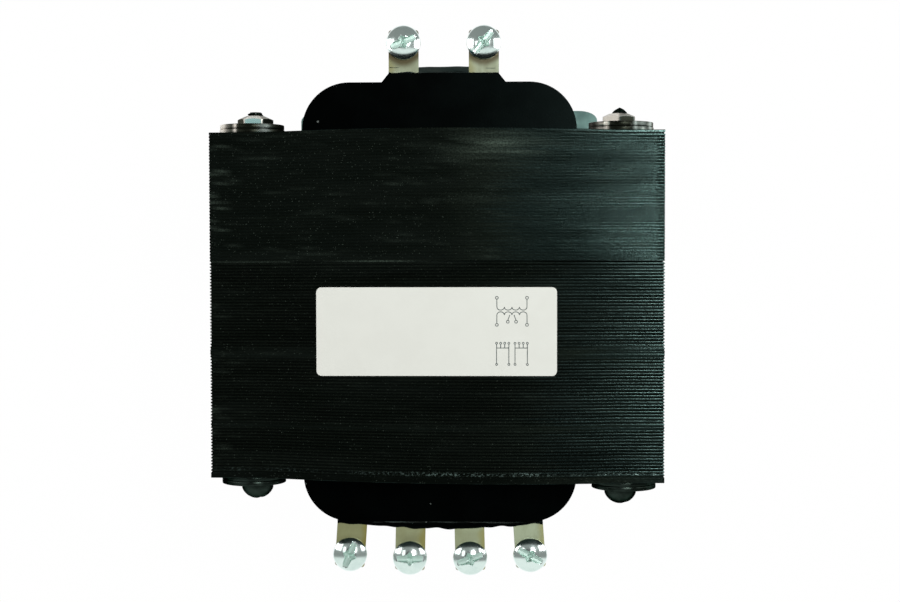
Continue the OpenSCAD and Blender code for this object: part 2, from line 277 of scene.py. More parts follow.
class Patchwork:
    """Grid surfaces that are collected, welded where they meet and made one mesh piece."""

    def __init__(self, name: str) -> None:
        """Start an empty piece of that name."""
        self.name = name
        self.points: list[Array] = []
        self.quads: list[Array] = []
        self.masks: list[dict[str, Array]] = []
        self.count = 0

    def grid(self, points: Array, wrap: bool = False, **masks: Array) -> None:
        """Add a surface given as rows and columns of points.

        Args:
            points: Array of rows by columns by 3, in metres in the row frame.
            wrap: Whether the last column joins the first.
            masks: Named values for each point, kept as attributes.
        """
        shape = points.shape[:2]
        self.quads.append(grid_quads(*shape, wrap) + self.count)
        self.points.append(points.reshape(-1, 3))
        self.masks.append({key: np.broadcast_to(mask, shape).ravel() for key, mask in masks.items()})
        self.count += shape[0] * shape[1]

    def build(
        self, material: Material, slot: str, replaces: Sequence[str] = (), crease: float = 32.0
    ) -> Piece:
        """Make the object, weld its seams and poles and turn its faces outwards.

        Args:
            material: Finish of the whole piece.
            slot: Material slot of the record for the piece; not used.
            replaces: Nodes that the piece stands for.
            crease: Angle between faces, in degrees, past which an edge stays sharp.

        Returns:
            The new object, riding on the one body.
        """
        points, quads = np.concatenate(self.points), np.concatenate(self.quads)
        mesh = bpy.data.meshes.new(self.name)
        mesh.vertices.add(len(points))
        mesh.vertices.foreach_set("co", points.astype(np.float32).ravel())
        mesh.loops.add(quads.size)
        mesh.loops.foreach_set("vertex_index", quads.astype(np.int32).ravel())
        mesh.polygons.add(len(quads))
        mesh.polygons.foreach_set("loop_start", np.arange(0, quads.size, 4, dtype=np.int32))
        for key in sorted({name for masks in self.masks for name in masks}):
            parts = [masks.get(key, np.zeros(len(part))) for masks, part in zip(self.masks, self.points)]
            attribute = mesh.attributes.new(key, "FLOAT", "POINT")
            attribute.data.foreach_set("value", np.concatenate(parts).astype(np.float32))
        mesh.update(calc_edges=True)
        whole = bmesh.new()
        whole.from_mesh(mesh)
        bmesh.ops.remove_doubles(whole, verts=whole.verts, dist=WELD_DISTANCE)
        bmesh.ops.recalc_face_normals(whole, faces=whole.faces)
        whole.to_mesh(mesh)
        whole.free()
        mesh.shade_smooth()
        mesh.set_sharp_from_angle(angle=radians(crease))
        mesh.materials.append(material)
        piece = added(self.name, mesh)
        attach(piece, BODY)
        if replaces:
            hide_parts(*replaces)
        return piece


# Shader work


class Sheet:
    """Node tree with short calls for adding nodes and joining their sockets."""

    def __init__(self, tree: bpy.types.NodeTree) -> None:
        """Work on that tree."""
        self.tree = tree

    @classmethod
    def of(cls, owner: Material | bpy.types.World) -> "Sheet":
        """Emptied node tree of a material or world."""
        owner.use_nodes = True
        owner.node_tree.nodes.clear()
        return cls(owner.node_tree)

    def add(self, kind: str, inputs: dict | None = None, **settings: object) -> bpy.types.Node:
        """Add a node of that kind.

        Args:
            kind: Blender's name for the node, without "ShaderNode" before it.
            inputs: Socket names or numbers with a constant or an output socket to join.
            settings: Properties of the node.

        Returns:
            The new node.
        """
        node = self.tree.nodes.new(kind if kind.startswith("Node") else f"ShaderNode{kind}")
        for key, value in settings.items():
            setattr(node, key, value)
        for key, value in (inputs or {}).items():
            if isinstance(value, Socket):
                self.tree.links.new(value, node.inputs[key])
            else:
                node.inputs[key].default_value = value
        return node

    def mix(self, factor: Socket, first: Socket | Triple, second: Socket | Triple) -> Socket:
        """Colour between first and second, as far as factor says."""
        colours = [c if isinstance(c, Socket) else (*c, 1.0) for c in (first, second)]
        return self.add("Mix", {0: factor, 6: colours[0], 7: colours[1]}, data_type="RGBA").outputs[2]

    def math(self, operation: str, *values: Socket | float) -> Socket:
        """Result of an operation on one to three values."""
        return self.add("Math", dict(enumerate(values)), operation=operation).outputs[0]

    def product(self, first: Socket, second: Socket | float) -> Socket:
        """First times second."""
        return self.math("MULTIPLY", first, second)

    def span(self, value: Socket, source: Pair, target: Pair = (0.0, 1.0)) -> Socket:
        """Value carried smoothly from the source range to the target range."""
        ends = dict(zip(("From Min", "From Max", "To Min", "To Max"), source + target))
        node = self.add("MapRange", {"Value": value, **ends}, interpolation_type="SMOOTHSTEP")
        return node.outputs["Result"]

    def noise(self, vector: Socket, scale: Socket | float, detail: float, roughness: float = 0.5) -> Socket:
        """Cloudy noise from about 0.2 to 0.8 at the places that vector gives."""
        inputs = {"Vector": vector, "Scale": scale, "Detail": detail, "Roughness": roughness}
        return self.add("TexNoise", inputs).outputs[0]

    def place(self) -> Socket:
        """Object coordinates."""
        return self.add("TexCoord").outputs["Object"]

    def attribute(self, name: str) -> Socket:
        """Value of a mesh attribute."""
        return self.add("Attribute", attribute_name=name).outputs["Fac"]


class SharedEffects:
    """Node groups that several finishes use, each built once."""

    def __init__(self) -> None:
        """Build the groups."""
        self.dust = self._dust()
        self.grain = self._grain()

    @staticmethod
    def _group(name: str, inputs: dict[str, float | None], outputs: Sequence[str]) -> tuple:
        """Start a group.

        Args:
            name: Name of the group.
            inputs: Default of each number, or None for a vector.
            outputs: Names of the numbers that the group gives.

        Returns:
            Its sheet, the sockets of its inputs and those of its outputs.
        """
        tree = bpy.data.node_groups.new(name, "ShaderNodeTree")
        for label, value in inputs.items():
            kind = "NodeSocketVector" if value is None else "NodeSocketFloat"
            socket = tree.interface.new_socket(label, in_out="INPUT", socket_type=kind)
            if value is not None:
                socket.default_value = value
        for label in outputs:
            tree.interface.new_socket(label, in_out="OUTPUT", socket_type="NodeSocketFloat")
        sheet = Sheet(tree)
        return sheet, sheet.add("NodeGroupInput").outputs, sheet.add("NodeGroupOutput").inputs

    def _dust(self) -> bpy.types.NodeTree:
        """Specks of dust: in a random share of cells, a spot of random size and strength."""
        defaults = {"Vector": None, "Scale": 500.0, "Share": 0.1, "Size": 0.2}
        sheet, given, result = self._group("dust specks", defaults, ["Mask"])
        cell = sheet.add("TexVoronoi", {"Vector": given["Vector"], "Scale": given["Scale"]})
        part = sheet.add("SeparateColor", {"Color": cell.outputs["Color"]}).outputs
        chosen = sheet.math("LESS_THAN", part[0], given["Share"])
        spot = sheet.math("LESS_THAN", cell.outputs["Distance"], sheet.product(part[1], given["Size"]))
        sheet.tree.links.new(sheet.product(chosen, sheet.product(spot, part[2])), result["Mask"])
        return sheet.tree

    def _grain(self) -> bpy.types.NodeTree:
        """Two sizes of cloudy grain on a stretched pattern: coarse for colour, fine for height."""
        defaults = {"Vector": None, "Stretch": None, "Coarse Scale": 60.0, "Fine Scale": 1500.0}
        sheet, given, result = self._group("grain", defaults, ["Coarse", "Fine"])
        place = sheet.add("VectorMath", {0: given["Vector"], 1: given["Stretch"]}, operation="MULTIPLY")
        for label in ("Coarse", "Fine"):
            noise = sheet.noise(place.outputs[0], given[f"{label} Scale"], 4.0, 0.6)
            sheet.tree.links.new(noise, result[label])
        return sheet.tree


@dataclass(frozen=True)
class Finish:
    """Surface of one kind of part: two colours that its coarse grain mixes, its gloss and its relief."""

    name: str
    colour: Triple
    second: Triple
    roughness: Pair
    metallic: float = 0.0
    specular: float = 0.5
    tint: Triple = (0.62, 1.0, 0.94)
    stretch: Triple = (1.0, 1.0, 1.0)
    coarse: float = 60.0
    fine: float = 1500.0
    relief: float = 0.02 * MM
    dust: float = 0.0
    dust_size: float = 0.25
    dust_scale: float = 700.0
    dust_colour: Triple = (0.30, 0.33, 0.31)
    colour_grain: ClassVar[Pair] = (0.38, 0.66)
    gloss_grain: ClassVar[Pair] = (0.3, 0.7)

    def base(self, sheet: Sheet, coarse: Socket) -> Socket:
        """Colour before dust: the first colour turning to the second where the coarse grain is high."""
        return sheet.mix(sheet.span(coarse, self.colour_grain), self.colour, self.second)

    def gloss(self, sheet: Sheet, coarse: Socket) -> Socket:
        """Roughness that follows the coarse grain between its two limits."""
        return sheet.span(coarse, self.gloss_grain, self.roughness)

    def metal(self, sheet: Sheet) -> Socket | float:
        """Share of metal, from 0 to 1."""
        return self.metallic

    def material(self, effects: SharedEffects) -> Material:
        """Build the material on Object coordinates, with the shared node groups."""
        made = bpy.data.materials.new(self.name)
        sheet = Sheet.of(made)
        place = sheet.place()
        scales = {"Stretch": self.stretch, "Coarse Scale": self.coarse, "Fine Scale": self.fine}
        grain = sheet.add("Group", {"Vector": place, **scales}, node_tree=effects.grain)
        coarse, fine = grain.outputs["Coarse"], grain.outputs["Fine"]
        colour = self.base(sheet, coarse)
        if self.dust > 0.0:
            specks = {"Scale": self.dust_scale, "Share": self.dust, "Size": self.dust_size}
            dust = sheet.add("Group", {"Vector": place, **specks}, node_tree=effects.dust)
            colour = sheet.mix(dust.outputs["Mask"], colour, self.dust_colour)
        bump = sheet.add("Bump", {"Height": fine, "Strength": 1.0, "Distance": self.relief})
        inputs = {
            "Base Color": colour, "Roughness": self.gloss(sheet, coarse), "Metallic": self.metal(sheet),
            "Specular IOR Level": self.specular, "Specular Tint": (*self.tint, 1.0),
            "Normal": bump.outputs[0],
        }
        surface = sheet.add("BsdfPrincipled", inputs)
        sheet.add("OutputMaterial", {"Surface": surface.outputs[0]})
        return made


@dataclass(frozen=True)
class VarnishedSteel(Finish):
    """Edges of laminations under black varnish: bare metal on their crests under a painted highlight, and
    whitish marks in places.
    """

    # Colours of the crests: dim where their painted highlight is weak, lit where it is strong.
    lit_crest_colour: Triple = (0.0546, 0.0938, 0.0868)
    dim_crest_colour: Triple = (0.0700, 0.0940, 0.0620)
    haze_and_highlight_colour: Triple = (0.138, 0.184, 0.146)
    lump_colour: Triple = (0.16, 0.23, 0.21)
    speck_scale: float = 2000.0
    lump_scale: float = 1500.0
    crest_metal: ClassVar[Pair] = (0.05, 0.4)
    crest_shade: ClassVar[Pair] = (0.03, 0.20)
    crest_specks: ClassVar[tuple[Pair, Pair]] = ((0.38, 0.62), (0.42, 1.0))
    crest_clouds: ClassVar[tuple[Pair, Pair]] = ((0.3, 0.62), (0.7, 1.0))
    haze_specks: ClassVar[tuple[Pair, Pair]] = ((0.36, 0.64), (0.6, 1.5))
    haze_clouds: ClassVar[tuple[Pair, Pair]] = ((0.3, 0.7), (0.5, 1.4))
    lump_grain: ClassVar[Pair] = (0.50, 0.64)

    def base(self, sheet: Sheet, coarse: Socket) -> Socket:
        """Varnish colour, then the crests' colour under thin, grainy varnish, from dim to lit as their
        painted highlight grows, then whitish marks and dried lumps.
        """
        place, crest = sheet.place(), sheet.attribute("crest")
        fine = sheet.noise(place, self.speck_scale, 2.0)
        share = sheet.product(crest, sheet.span(coarse, *self.crest_clouds))
        share = sheet.product(share, sheet.span(fine, *self.crest_specks))
        shade = sheet.mix(sheet.span(crest, self.crest_shade), self.dim_crest_colour, self.lit_crest_colour)
        crests = sheet.mix(share, super().base(sheet, coarse), shade)
        smear = sheet.product(sheet.attribute("haze"), sheet.span(coarse, *self.haze_clouds))
        smear = sheet.product(smear, sheet.span(fine, *self.haze_specks))
        clumps = sheet.span(sheet.noise(place, self.lump_scale, 3.0, 0.7), self.lump_grain)
        lump = sheet.product(sheet.attribute("lumps"), clumps)
        return sheet.mix(lump, sheet.mix(smear, crests, self.haze_and_highlight_colour), self.lump_colour)

    def metal(self, sheet: Sheet) -> Socket | float:
        """The crests reflect like metal, as far as their bare metal and painted highlight go."""
        return sheet.span(sheet.attribute("crest"), self.crest_metal)


@dataclass(frozen=True)
class TinnedBrass(Finish):
    """Tin over brass, yellowed and browned where the mesh says so; the browning is partly stains and partly
    painted shade.
    """

    # Brown of stains and of painted shade: the shadow and reflection of the screw heads on the X tabs and
    # the darker H tabs.
    stain_and_shade_colour: Triple = (0.060, 0.045, 0.007)
    yellow_colour: Triple = (0.34, 0.30, 0.06)

    def base(self, sheet: Sheet, coarse: Socket) -> Socket:
        """Tin colour, yellowed at one side and mixed with the brown of stains and painted shade."""
        yellowed = sheet.mix(sheet.attribute("yellow"), super().base(sheet, coarse), self.yellow_colour)
        return sheet.mix(sheet.attribute("stain"), yellowed, self.stain_and_shade_colour)


@dataclass(frozen=True)
class BrightZinc(Finish):
    """Bright zinc that is rougher in the recess of a head, and darker there as painted shade."""

    # Painted shade in the recess of a head.
    recess_shade_colour: Triple = (0.54, 0.69, 0.63)
    recess_roughness: float = 0.36

    def base(self, sheet: Sheet, coarse: Socket) -> Socket:
        """Zinc colour, darkened in the recess as painted shade."""
        return sheet.mix(sheet.attribute("recess"), super().base(sheet, coarse), self.recess_shade_colour)

    def gloss(self, sheet: Sheet, coarse: Socket) -> Socket:
        """Roughness, raised in the recess."""
        raised = sheet.product(sheet.attribute("recess"), self.recess_roughness)
        return sheet.math("ADD", super().gloss(sheet, coarse), raised)


@dataclass(frozen=True)
class DabbedZinc(Finish):
    """Dull zinc with dabs of black varnish, darkened also where the mesh says, by varnish and by painted
    shade, and with pale painted glints.
    """

    # Dark of varnish and of painted shade.
    varnish_colour: Triple = (0.0100, 0.0120, 0.0080)
    # Colours of the pale painted glints and reflections on nuts and washers.
    cool_glint_colour: Triple = (0.30, 0.50, 0.49)
    warm_glint_colour: Triple = (0.74, 0.68, 0.61)
    dab_scale: float = 420.0
    dab_edge: ClassVar[Pair] = (0.90, 1.12)

    def base(self, sheet: Sheet, coarse: Socket) -> Socket:
        """Zinc colour, darkened where dabs and the mesh's varnish and painted shade add up, then pale
        painted glints and reflections, cool and warm.
        """
        dabs = sheet.noise(sheet.place(), self.dab_scale, 2.0, 0.6)
        cover = sheet.span(sheet.math("ADD", dabs, sheet.attribute("varnish")), self.dab_edge)
        varnished_and_shaded = sheet.mix(cover, super().base(sheet, coarse), self.varnish_colour)
        bloom = sheet.mix(sheet.attribute("warm"), self.cool_glint_colour, self.warm_glint_colour)
        return sheet.mix(sheet.attribute("bloom"), varnished_and_shaded, bloom)

    def metal(self, sheet: Sheet) -> Socket | float:
        """The painted glints aren't metal."""
        return sheet.span(sheet.attribute("bloom"), (0.0, 1.0), (self.metallic, 0.0))


@dataclass(frozen=True)
class Finishes:
    """Finish of every kind of part."""

    core: Finish = VarnishedSteel(
        "black varnished laminations", (0.0016, 0.0022, 0.0017), (0.0026, 0.0034, 0.0028), (0.20, 0.30),
        specular=0.03, stretch=(0.12, 1.0, 0.6), coarse=180.0, fine=2600.0, relief=0.004 * MM,
        dust=0.80, dust_size=0.25, dust_scale=1500.0, dust_colour=(0.036, 0.046, 0.037),
    )
    bobbin: Finish = Finish(
        "satin black board", (0.0003, 0.0003, 0.0003), (0.0004, 0.0005, 0.0005), (0.25, 0.29),
        specular=0.035, coarse=90.0, fine=1800.0, relief=0.008 * MM, dust=0.02,
    )
    winding: Finish = Finish(
        "varnished copper wire", (0.28, 0.085, 0.022), (0.16, 0.045, 0.012), (0.25, 0.4),
        metallic=0.85, stretch=(1.0, 1.0, 8.0), coarse=120.0, relief=0.05 * MM,
    )
    insulation: Finish = Finish(
        "kraft insulation", (0.45, 0.35, 0.19), (0.32, 0.23, 0.11), (0.6, 0.8), coarse=200.0,
    )
    wrap: Finish = Finish(
        "varnished tape wrap", (0.0050, 0.0050, 0.0042), (0.0120, 0.0110, 0.0080), (0.22, 0.42),
        specular=0.1, stretch=(1.0, 1.0, 2.5), coarse=70.0, fine=900.0, relief=0.05 * MM, dust=0.03,
    )
    # The second colour, stretched into streaks along X, is a painted sheen on the tape.
    tape: Finish = Finish(
        "glossy black tape", (0.0020, 0.0022, 0.0020), (0.0300, 0.0300, 0.0270), (0.14, 0.30),
        specular=0.8, stretch=(0.25, 1.0, 1.0), coarse=160.0, fine=1100.0, relief=0.06 * MM, dust=0.02,
    )
    tab: Finish = TinnedBrass(
        "tinned brass", (0.43, 0.495, 0.345), (0.34, 0.39, 0.26), (0.36, 0.5),
        metallic=0.2, tint=(1.0, 1.0, 1.0), stretch=(1.0, 0.35, 1.0), coarse=260.0, fine=2600.0,
        relief=0.012 * MM, dust=0.04, dust_colour=(0.05, 0.04, 0.02),
    )
    screw: Finish = BrightZinc(
        "bright zinc", (0.90, 0.98, 0.96), (0.80, 0.90, 0.88), (0.13, 0.22),
        metallic=1.0, tint=(1.0, 1.0, 1.0), coarse=160.0, fine=2400.0, relief=0.002 * MM,
    )
    painted: Finish = Finish(
        "black varnished hardware", (0.012, 0.017, 0.014), (0.030, 0.042, 0.036), (0.22, 0.42),
        metallic=1.0, tint=(0.10, 0.15, 0.13), coarse=130.0, fine=1200.0, relief=0.03 * MM, dust=0.03,
    )
    plated: Finish = DabbedZinc(
        "dull zinc", (0.30, 0.33, 0.29), (0.18, 0.17, 0.13), (0.24, 0.40),
        metallic=0.8, tint=(0.5, 0.5, 0.45), coarse=420.0, fine=1800.0, relief=0.015 * MM,
    )
    foot: Finish = Finish(
        "galvanised sheet", (0.135, 0.225, 0.205), (0.10, 0.17, 0.158), (0.45, 0.6),
        metallic=0.25, coarse=140.0, relief=0.012 * MM,
    )
    label: Finish = Finish(
        "matt paper", (0.706, 0.685, 0.641), (0.691, 0.670, 0.626), (0.5, 0.6),
        coarse=120.0, fine=2600.0, relief=0.004 * MM,
    )
    ink: Finish = Finish(
        "printed ink", (0.05, 0.052, 0.052), (0.08, 0.082, 0.082), (0.5, 0.6), coarse=900.0,
    )


# Sub-assemblies


@dataclass
class LaminatedCore:
    """E laminations with their yoke below and I laminations above, each edge a rounded ridge.

    The side faces are the outlines of the two stacks, carried along the stack and set in at every joint
    between laminations. Varnish fills the joints of the top, behind the fill line more than before it, and
    hangs over the front end as a lip. Each of the bands is a place along the stack, its half width, how
    much of the joints it fills and how much of the crests' bare metal and painted highlight it takes. Each
    of the smears is its strength and its place and half width in X, then in Y. The crests of the top
    carry a painted highlight that grows towards the right, where the lamp lies.
    """

    pitch: float = 0.905 * MM
    groove: float = 0.32 * MM
    uneven: float = 0.05 * MM
    rim: float = 0.10 * MM
    crown: float = 1.0 * MM
    leg_crown: float = 0.25 * MM
    crown_reach: float = 53.0 * MM
    cell: float = 3.6 * MM
    fill_line: float = 13.0 * MM
    lip_line: float = -49.1 * MM
    bands: tuple[tuple[float, ...], ...] = (
        (-13.7 * MM, 1.5 * MM, 0.85, 0.45), (-35.0 * MM, 0.7 * MM, 0.6, 0.3),
    )
    smears: tuple[tuple[float, ...], ...] = (
        (0.27, 17.0 * MM, 13.0 * MM, 46.0 * MM, 4.2 * MM), (0.10, 9.0 * MM, 9.0 * MM, 30.7 * MM, 1.1 * MM),
    )
    thick_fill: Pair = (0.56, 0.09)
    lip_fill: float = 0.95
    fill_limits: Pair = (0.04, 0.97)
    least_shine: float = 0.03
    least_front_shine: float = 0.02
    own_shine: float = 0.76
    painted_highlight_growth: Pair = (1.6, 2.4)
    shine_streaks: Pair = (0.95, 0.15)
    lip_dulling: float = 0.8
    front_shine: Pair = (0.63, 0.19)
    front_dulling: Pair = (-30.0 * MM, -10.0 * MM)
    dull_patch: Triple = (0.28, 37.5 * MM, 5.0 * MM)
    smear_streaks: Pair = (0.6, 0.4)
    strand_floor: float = 0.7
    strand_levels: Pair = (0.035, 0.20)
    left_highlight_span: Pair = (-66.6 * MM, -57.0 * MM)
    front_strands: float = 0.4
    crust: Triple = (0.35, -17.5 * MM, 10.0 * MM)
    left_crust: Triple = (0.5, -46.0 * MM, -42.0 * MM)
    crust_row: Pair = (-0.2 * MM, 0.14 * MM)
    lump_row: Pair = (1.0 * MM, 0.42 * MM)
    lump_span: Pair = (-30.0 * MM, 25.0 * MM)
    lift: float = 0.05 * MM
    lift_span: Pair = (20.0 * MM, 56.0 * MM)
    part_end: float = 60.0 * MM
    split_start: float = 32.0 * MM
    painted_highlight_reach: float = 58.0 * MM
    side_shine: float = 0.3
    side_fill: float = 0.2
    crease: float = 60.0
    seed: int = 11

    def __post_init__(self) -> None:
        """Take the stacks' sizes from the frame; the centre leg's half width is a sixth of the core's."""
        self.lower, self.upper = Block.of("core_e_stack"), Block.of("core_i_stack")
        self.half = self.lower.high[1]
        self.sheets = int(round(2.0 * self.half / self.pitch))
        self.splay_reach = Block.of("nut_washer_upper_right").low[0]
        self.seam, self.top = self.upper.low[2], self.upper.high[2]
        self.yoke = self.top - self.seam
        self.window_out = self.lower.high[0] - self.yoke
        self.window_low = self.lower.low[2] + self.yoke
        self.leg = self.lower.size[0] / 6.0

    def bow(self, x: Array, z: Array) -> Array:
        """How far an end face stands out at (x, z).

        Formula: the crown of a yoke at its outer edge, falling to the leg's crown inside, times one less
        the square of x over the reach between the bolts.
        """
        above = smooth_step(z, self.seam, self.seam + self.yoke)
        below = 1.0 - smooth_step(z, self.lower.low[2], self.window_low)
        rise = self.leg_crown + (self.crown - self.leg_crown) * (above + below)
        return rise * np.clip(1.0 - (x / self.crown_reach) ** 2, 0.0, None)

    def placed(self, x: Array, y: Array, z: Array) -> Array:
        """Y of a point that lies at y in the straight stack.

        Formula: y grows by a share that reaches the bow at the end faces, and in the upper stack the splay
        of that end as well, which rises along a straight line between the washers.
        """
        end = np.where(y > 0, self.upper.high[1] - self.half, -self.upper.low[1] - self.half)
        rise = np.clip(0.5 + x / (2.0 * self.splay_reach), 0.0, 1.0)
        upper = z > self.seam + 0.5 * self.rim
        return y * (1.0 + (self.bow(x, z) + end * rise * upper) / self.half)

    def lifted(self, x: Array, z: Array) -> Array:
        """How far the last lamination stands off at the right end of its top edge."""
        right = smooth_step(x, *self.lift_span)
        return self.lift * right * smooth_step(z, self.top - 1.2 * MM, self.top - 0.3 * MM)

    def stations(self, shares: Sequence[float], weights: Sequence[float]) -> tuple[Array, Array, Array]:
        """Places along the stack at which the outline is drawn.

        Args:
            shares: Places inside one lamination, from 0 to 1.
            weights: How much of the joint's depth each place has.

        Returns:
            Y of each station, its weight and the number of its lamination, with the stack's ends added.
        """
        step = 2.0 * self.half / self.sheets
        sheet = np.repeat(np.arange(self.sheets), len(shares))
        y = -self.half + step * (sheet + np.tile(shares, self.sheets))
        weight = np.tile(weights, self.sheets)
        weight[0] = weight[-1] = 0.0
        y = np.concatenate([[-self.half], y, [self.half]])
        return y, np.pad(weight, 1), np.pad(sheet, 1, mode="edge")

    def own(self, draw: int, low: float, sheet: Array) -> Array:
        """Random number from low to 1 for each lamination, given at each station."""
        return np.random.default_rng(self.seed + draw).uniform(low, 1.0, self.sheets)[sheet]

    def streaks(self, draw: int, longest: float, waves: int, run: Array, sheet: Array) -> Array:
        """Smooth random line along each lamination, given at each place of the run and each station."""
        return Wander(self.seed + draw, longest, waves, self.sheets).along(run)[sheet].T

    def fill(self, y: Array, sheet: Array) -> Array:
        """Share of the joints' depth that varnish fills on the top, from 0 to 1."""
        least, spread = self.thick_fill
        thick = smooth_step(y, self.fill_line, self.fill_line + 0.6 * MM)
        thick = thick * (least + spread * self.own(4, 0.0, sheet))
        bands = sum(filled * bell(y, at, wide) for at, wide, filled, _ in self.bands)
        lip = self.lip_fill * (1.0 - smooth_step(y, self.lip_line - 0.4 * MM, self.lip_line + 0.4 * MM))
        return np.clip(thick + bands + lip + self.fill_limits[0], 0.0, self.fill_limits[1])

    def shine(self, x: Array, y: Array, sheet: Array, run: Array) -> Array:
        """How much each of the top's crests shows, partly bare metal and partly a painted highlight.

        Formula: its own share times streaks along it, less on the lip and in the varnished bands, growing
        from the middle to the right as a power of x, which is lower on the thick varnish than in front.
        That growth, and its falloff towards the back of the front part, is the painted highlight.
        """
        streaks = self.streaks(6, 0.16, 8, run, sheet)
        above_lip = smooth_step(y, self.lip_line - 0.3 * MM, self.lip_line + 0.5 * MM)
        lip = 1.0 - self.lip_dulling * (1.0 - above_lip)
        bands = 1.0
        for at, wide, _, taken in self.bands:
            bands = bands - taken * bell(y, at, wide)
        loss, at, wide = self.dull_patch
        shiny, fainter = self.front_shine
        reach = np.clip(x / self.painted_highlight_reach, 0.0, 1.15)
        thick, thin = self.painted_highlight_growth
        behind = (1.0 - loss * bell(y, at, wide)) * reach**thick
        before = (shiny - fainter * smooth_step(y, *self.front_dulling)) * reach**thin
        before = self.least_front_shine + before
        level = self.least_shine + np.where(y < self.fill_line, before, behind)
        base, wave = self.shine_streaks
        own = self.own(5, self.own_shine, sheet) * (base + wave * streaks)
        return np.clip(own * lip * bands * level, 0.0, 1.0)

    def haze(self, x: Array, y: Array, sheet: Array) -> Array:
        """Whitish marks on the top: two soft smears, fine strands and crusts at the seam; the strands grow
        stronger at the left end as a painted highlight.
        """
        run = x[:, 0]
        soft = sum(s * bell(x, at, wide) * bell(y, *row) for s, at, wide, *row in self.smears)
        strands = np.clip(self.streaks(8, 0.06, 18, run, sheet) - self.strand_floor, 0.0, 1.0)
        least, more = self.strand_levels
        # Painted highlight: the strands grow lighter towards the left end, where light falls from the left.
        left = least + more * (1.0 - smooth_step(x, *self.left_highlight_span))
        strands = strands * left * np.where(y > self.fill_line, 1.0, self.front_strands)
        (level, *middle), (share, *ends) = self.crust, self.left_crust
        crusts = bell(x, *middle) + share * (1.0 - smooth_step(x, *ends))
        crusts = level * crusts * bell(y, self.fill_line + self.crust_row[0], self.crust_row[1])
        base, wave = self.smear_streaks
        soft = soft * (base + wave * self.streaks(3, 0.12, 6, run, sheet))
        return np.clip(soft + strands + crusts, 0.0, 1.0)

    def lumps(self, x: Array, y: Array) -> Array:
        """Where lumps of dried varnish lie: in a fine row above the lip, thicker at the right."""
        row = bell(y, self.lip_line + self.lump_row[0], self.lump_row[1])
        row = row * (0.2 + 0.8 * smooth_step(x, *self.lump_span))
        clumps = 0.75 + 0.6 * Wander(self.seed + 9, 0.07, 14).along(x[:, 0])[0][:, None]
        return row * np.clip(clumps, 0.05, 1.2)

    def surface(
        self, piece: Patchwork, path: Array, normal: Array, shares: Sequence[float],
        weights: Sequence[float],
    ) -> None:
        """Add the sides: the path set in along its normals by the depth at each station.

        Formula: depth is the lamination's own small offset, plus the joint's depth times the station's
        weight times what the varnish leaves open. Two joints of the top open wider towards the right: the
        last one and the one at the fill line.
        """
        y, weight, sheet = self.stations(shares, weights)
        run = run_length(path)
        x, z = path[:, :1], path[:, 1:]
        top = (np.abs(z - self.top) < SAME_PLACE) & (normal[:, 1:] > 0.5)
        fill = np.where(top, self.fill(y[None], sheet), self.side_fill)
        waves = self.streaks(0, 0.19, 7, run, sheet)
        offset = self.uneven * (1.0 - 0.75 * fill)
        offset = offset * (0.7 * self.own(1, 0.0, sheet)[None] + 0.5 * (1.0 + waves) / 2.0)
        joint = weight > 0.9
        last = np.abs(y - self.half + self.pitch) < self.pitch / 3
        parted = smooth_step(x, self.lift_span[0], self.part_end) * top * joint * last
        split = (x > self.split_start) * top * (np.abs(y - self.fill_line) < self.pitch / 3) * joint
        gap = np.clip(weight[None] * (1.0 - fill) + 0.7 * parted + split, 0.0, 2.0)
        end = (np.abs(np.abs(y) - self.half) < 1e-9)[None]
        depth = np.where(end, self.rim, offset + self.groove * gap)
        out = self.placed(x, y[None], z) + self.lifted(x, z) * (sheet == self.sheets - 1)
        points = np.stack([x - normal[:, :1] * depth, out, z - normal[:, 1:] * depth], axis=-1)
        # The top's crests take the painted highlight that grows to the right; the sides keep an even level.
        shine = np.where(top, self.shine(x, y[None], sheet, run), self.side_shine)
        crest = (1.0 - np.clip(gap, 0.0, 1.0)) * shine
        haze = np.where(top, self.haze(x, y[None], sheet), 0.0)
        lumps = np.where(top, self.lumps(x, y[None]), 0.0)
        piece.grid(np.swapaxes(points, 0, 1), wrap=True, crest=crest.T, haze=haze.T, lumps=lumps.T)

    def lines(self, places: Sequence[float], inward: Sequence[int]) -> Array:
        """Grid lines through the given places, with steps of about one cell between them.

        Args:
            places: Places of the edges, in order.
            inward: For each, the side towards which the end face is set in by the rim, or 0.

        Returns:
            The lines, with each place moved by the rim.
        """
        runs = [
            np.linspace(a, b, max(2, int(round((b - a) / self.cell))), endpoint=False)
            for a, b in zip(places[:-1], places[1:])
        ]
        lines = np.append(np.concatenate(runs), places[-1])
        starts = np.concatenate([[0], np.cumsum([len(r) for r in runs])])
        lines[starts] += self.rim * np.array(inward)
        return lines

    def outline(self, corners: Sequence[Pair], x_lines: Array, z_lines: Array) -> tuple[Array, Array]:
        """Path round the corners through the lines between them, with outward normals.

        Formula: on a straight edge along (dx, dz) the normal is (dz, -dx); at a corner it is the sum of the
        two edges' normals, so that a set-in corner stays square.
        """
        points, normals = [], []
        corners = np.array(corners)
        following = np.roll(corners, -1, axis=0)
        heading = np.sign(following - corners)
        out = np.column_stack([heading[:, 1], -heading[:, 0]])
        for i, (a, b) in enumerate(zip(corners, following)):
            axis = 0 if heading[i, 0] else 1
            lines = (x_lines, z_lines)[axis]
            low, high = sorted((a[axis], b[axis]))
            inner = lines[(lines > low + 3.0 * self.rim) & (lines < high - 3.0 * self.rim)]
            run = np.tile(a, (len(inner) + 1, 1))
            run[1:, axis] = inner if heading[i, axis] > 0 else inner[::-1]
            points.append(run)
            normals.append(np.vstack([out[i - 1] + out[i], np.tile(out[i], (len(inner), 1))]))
        return np.concatenate(points), np.concatenate(normals)

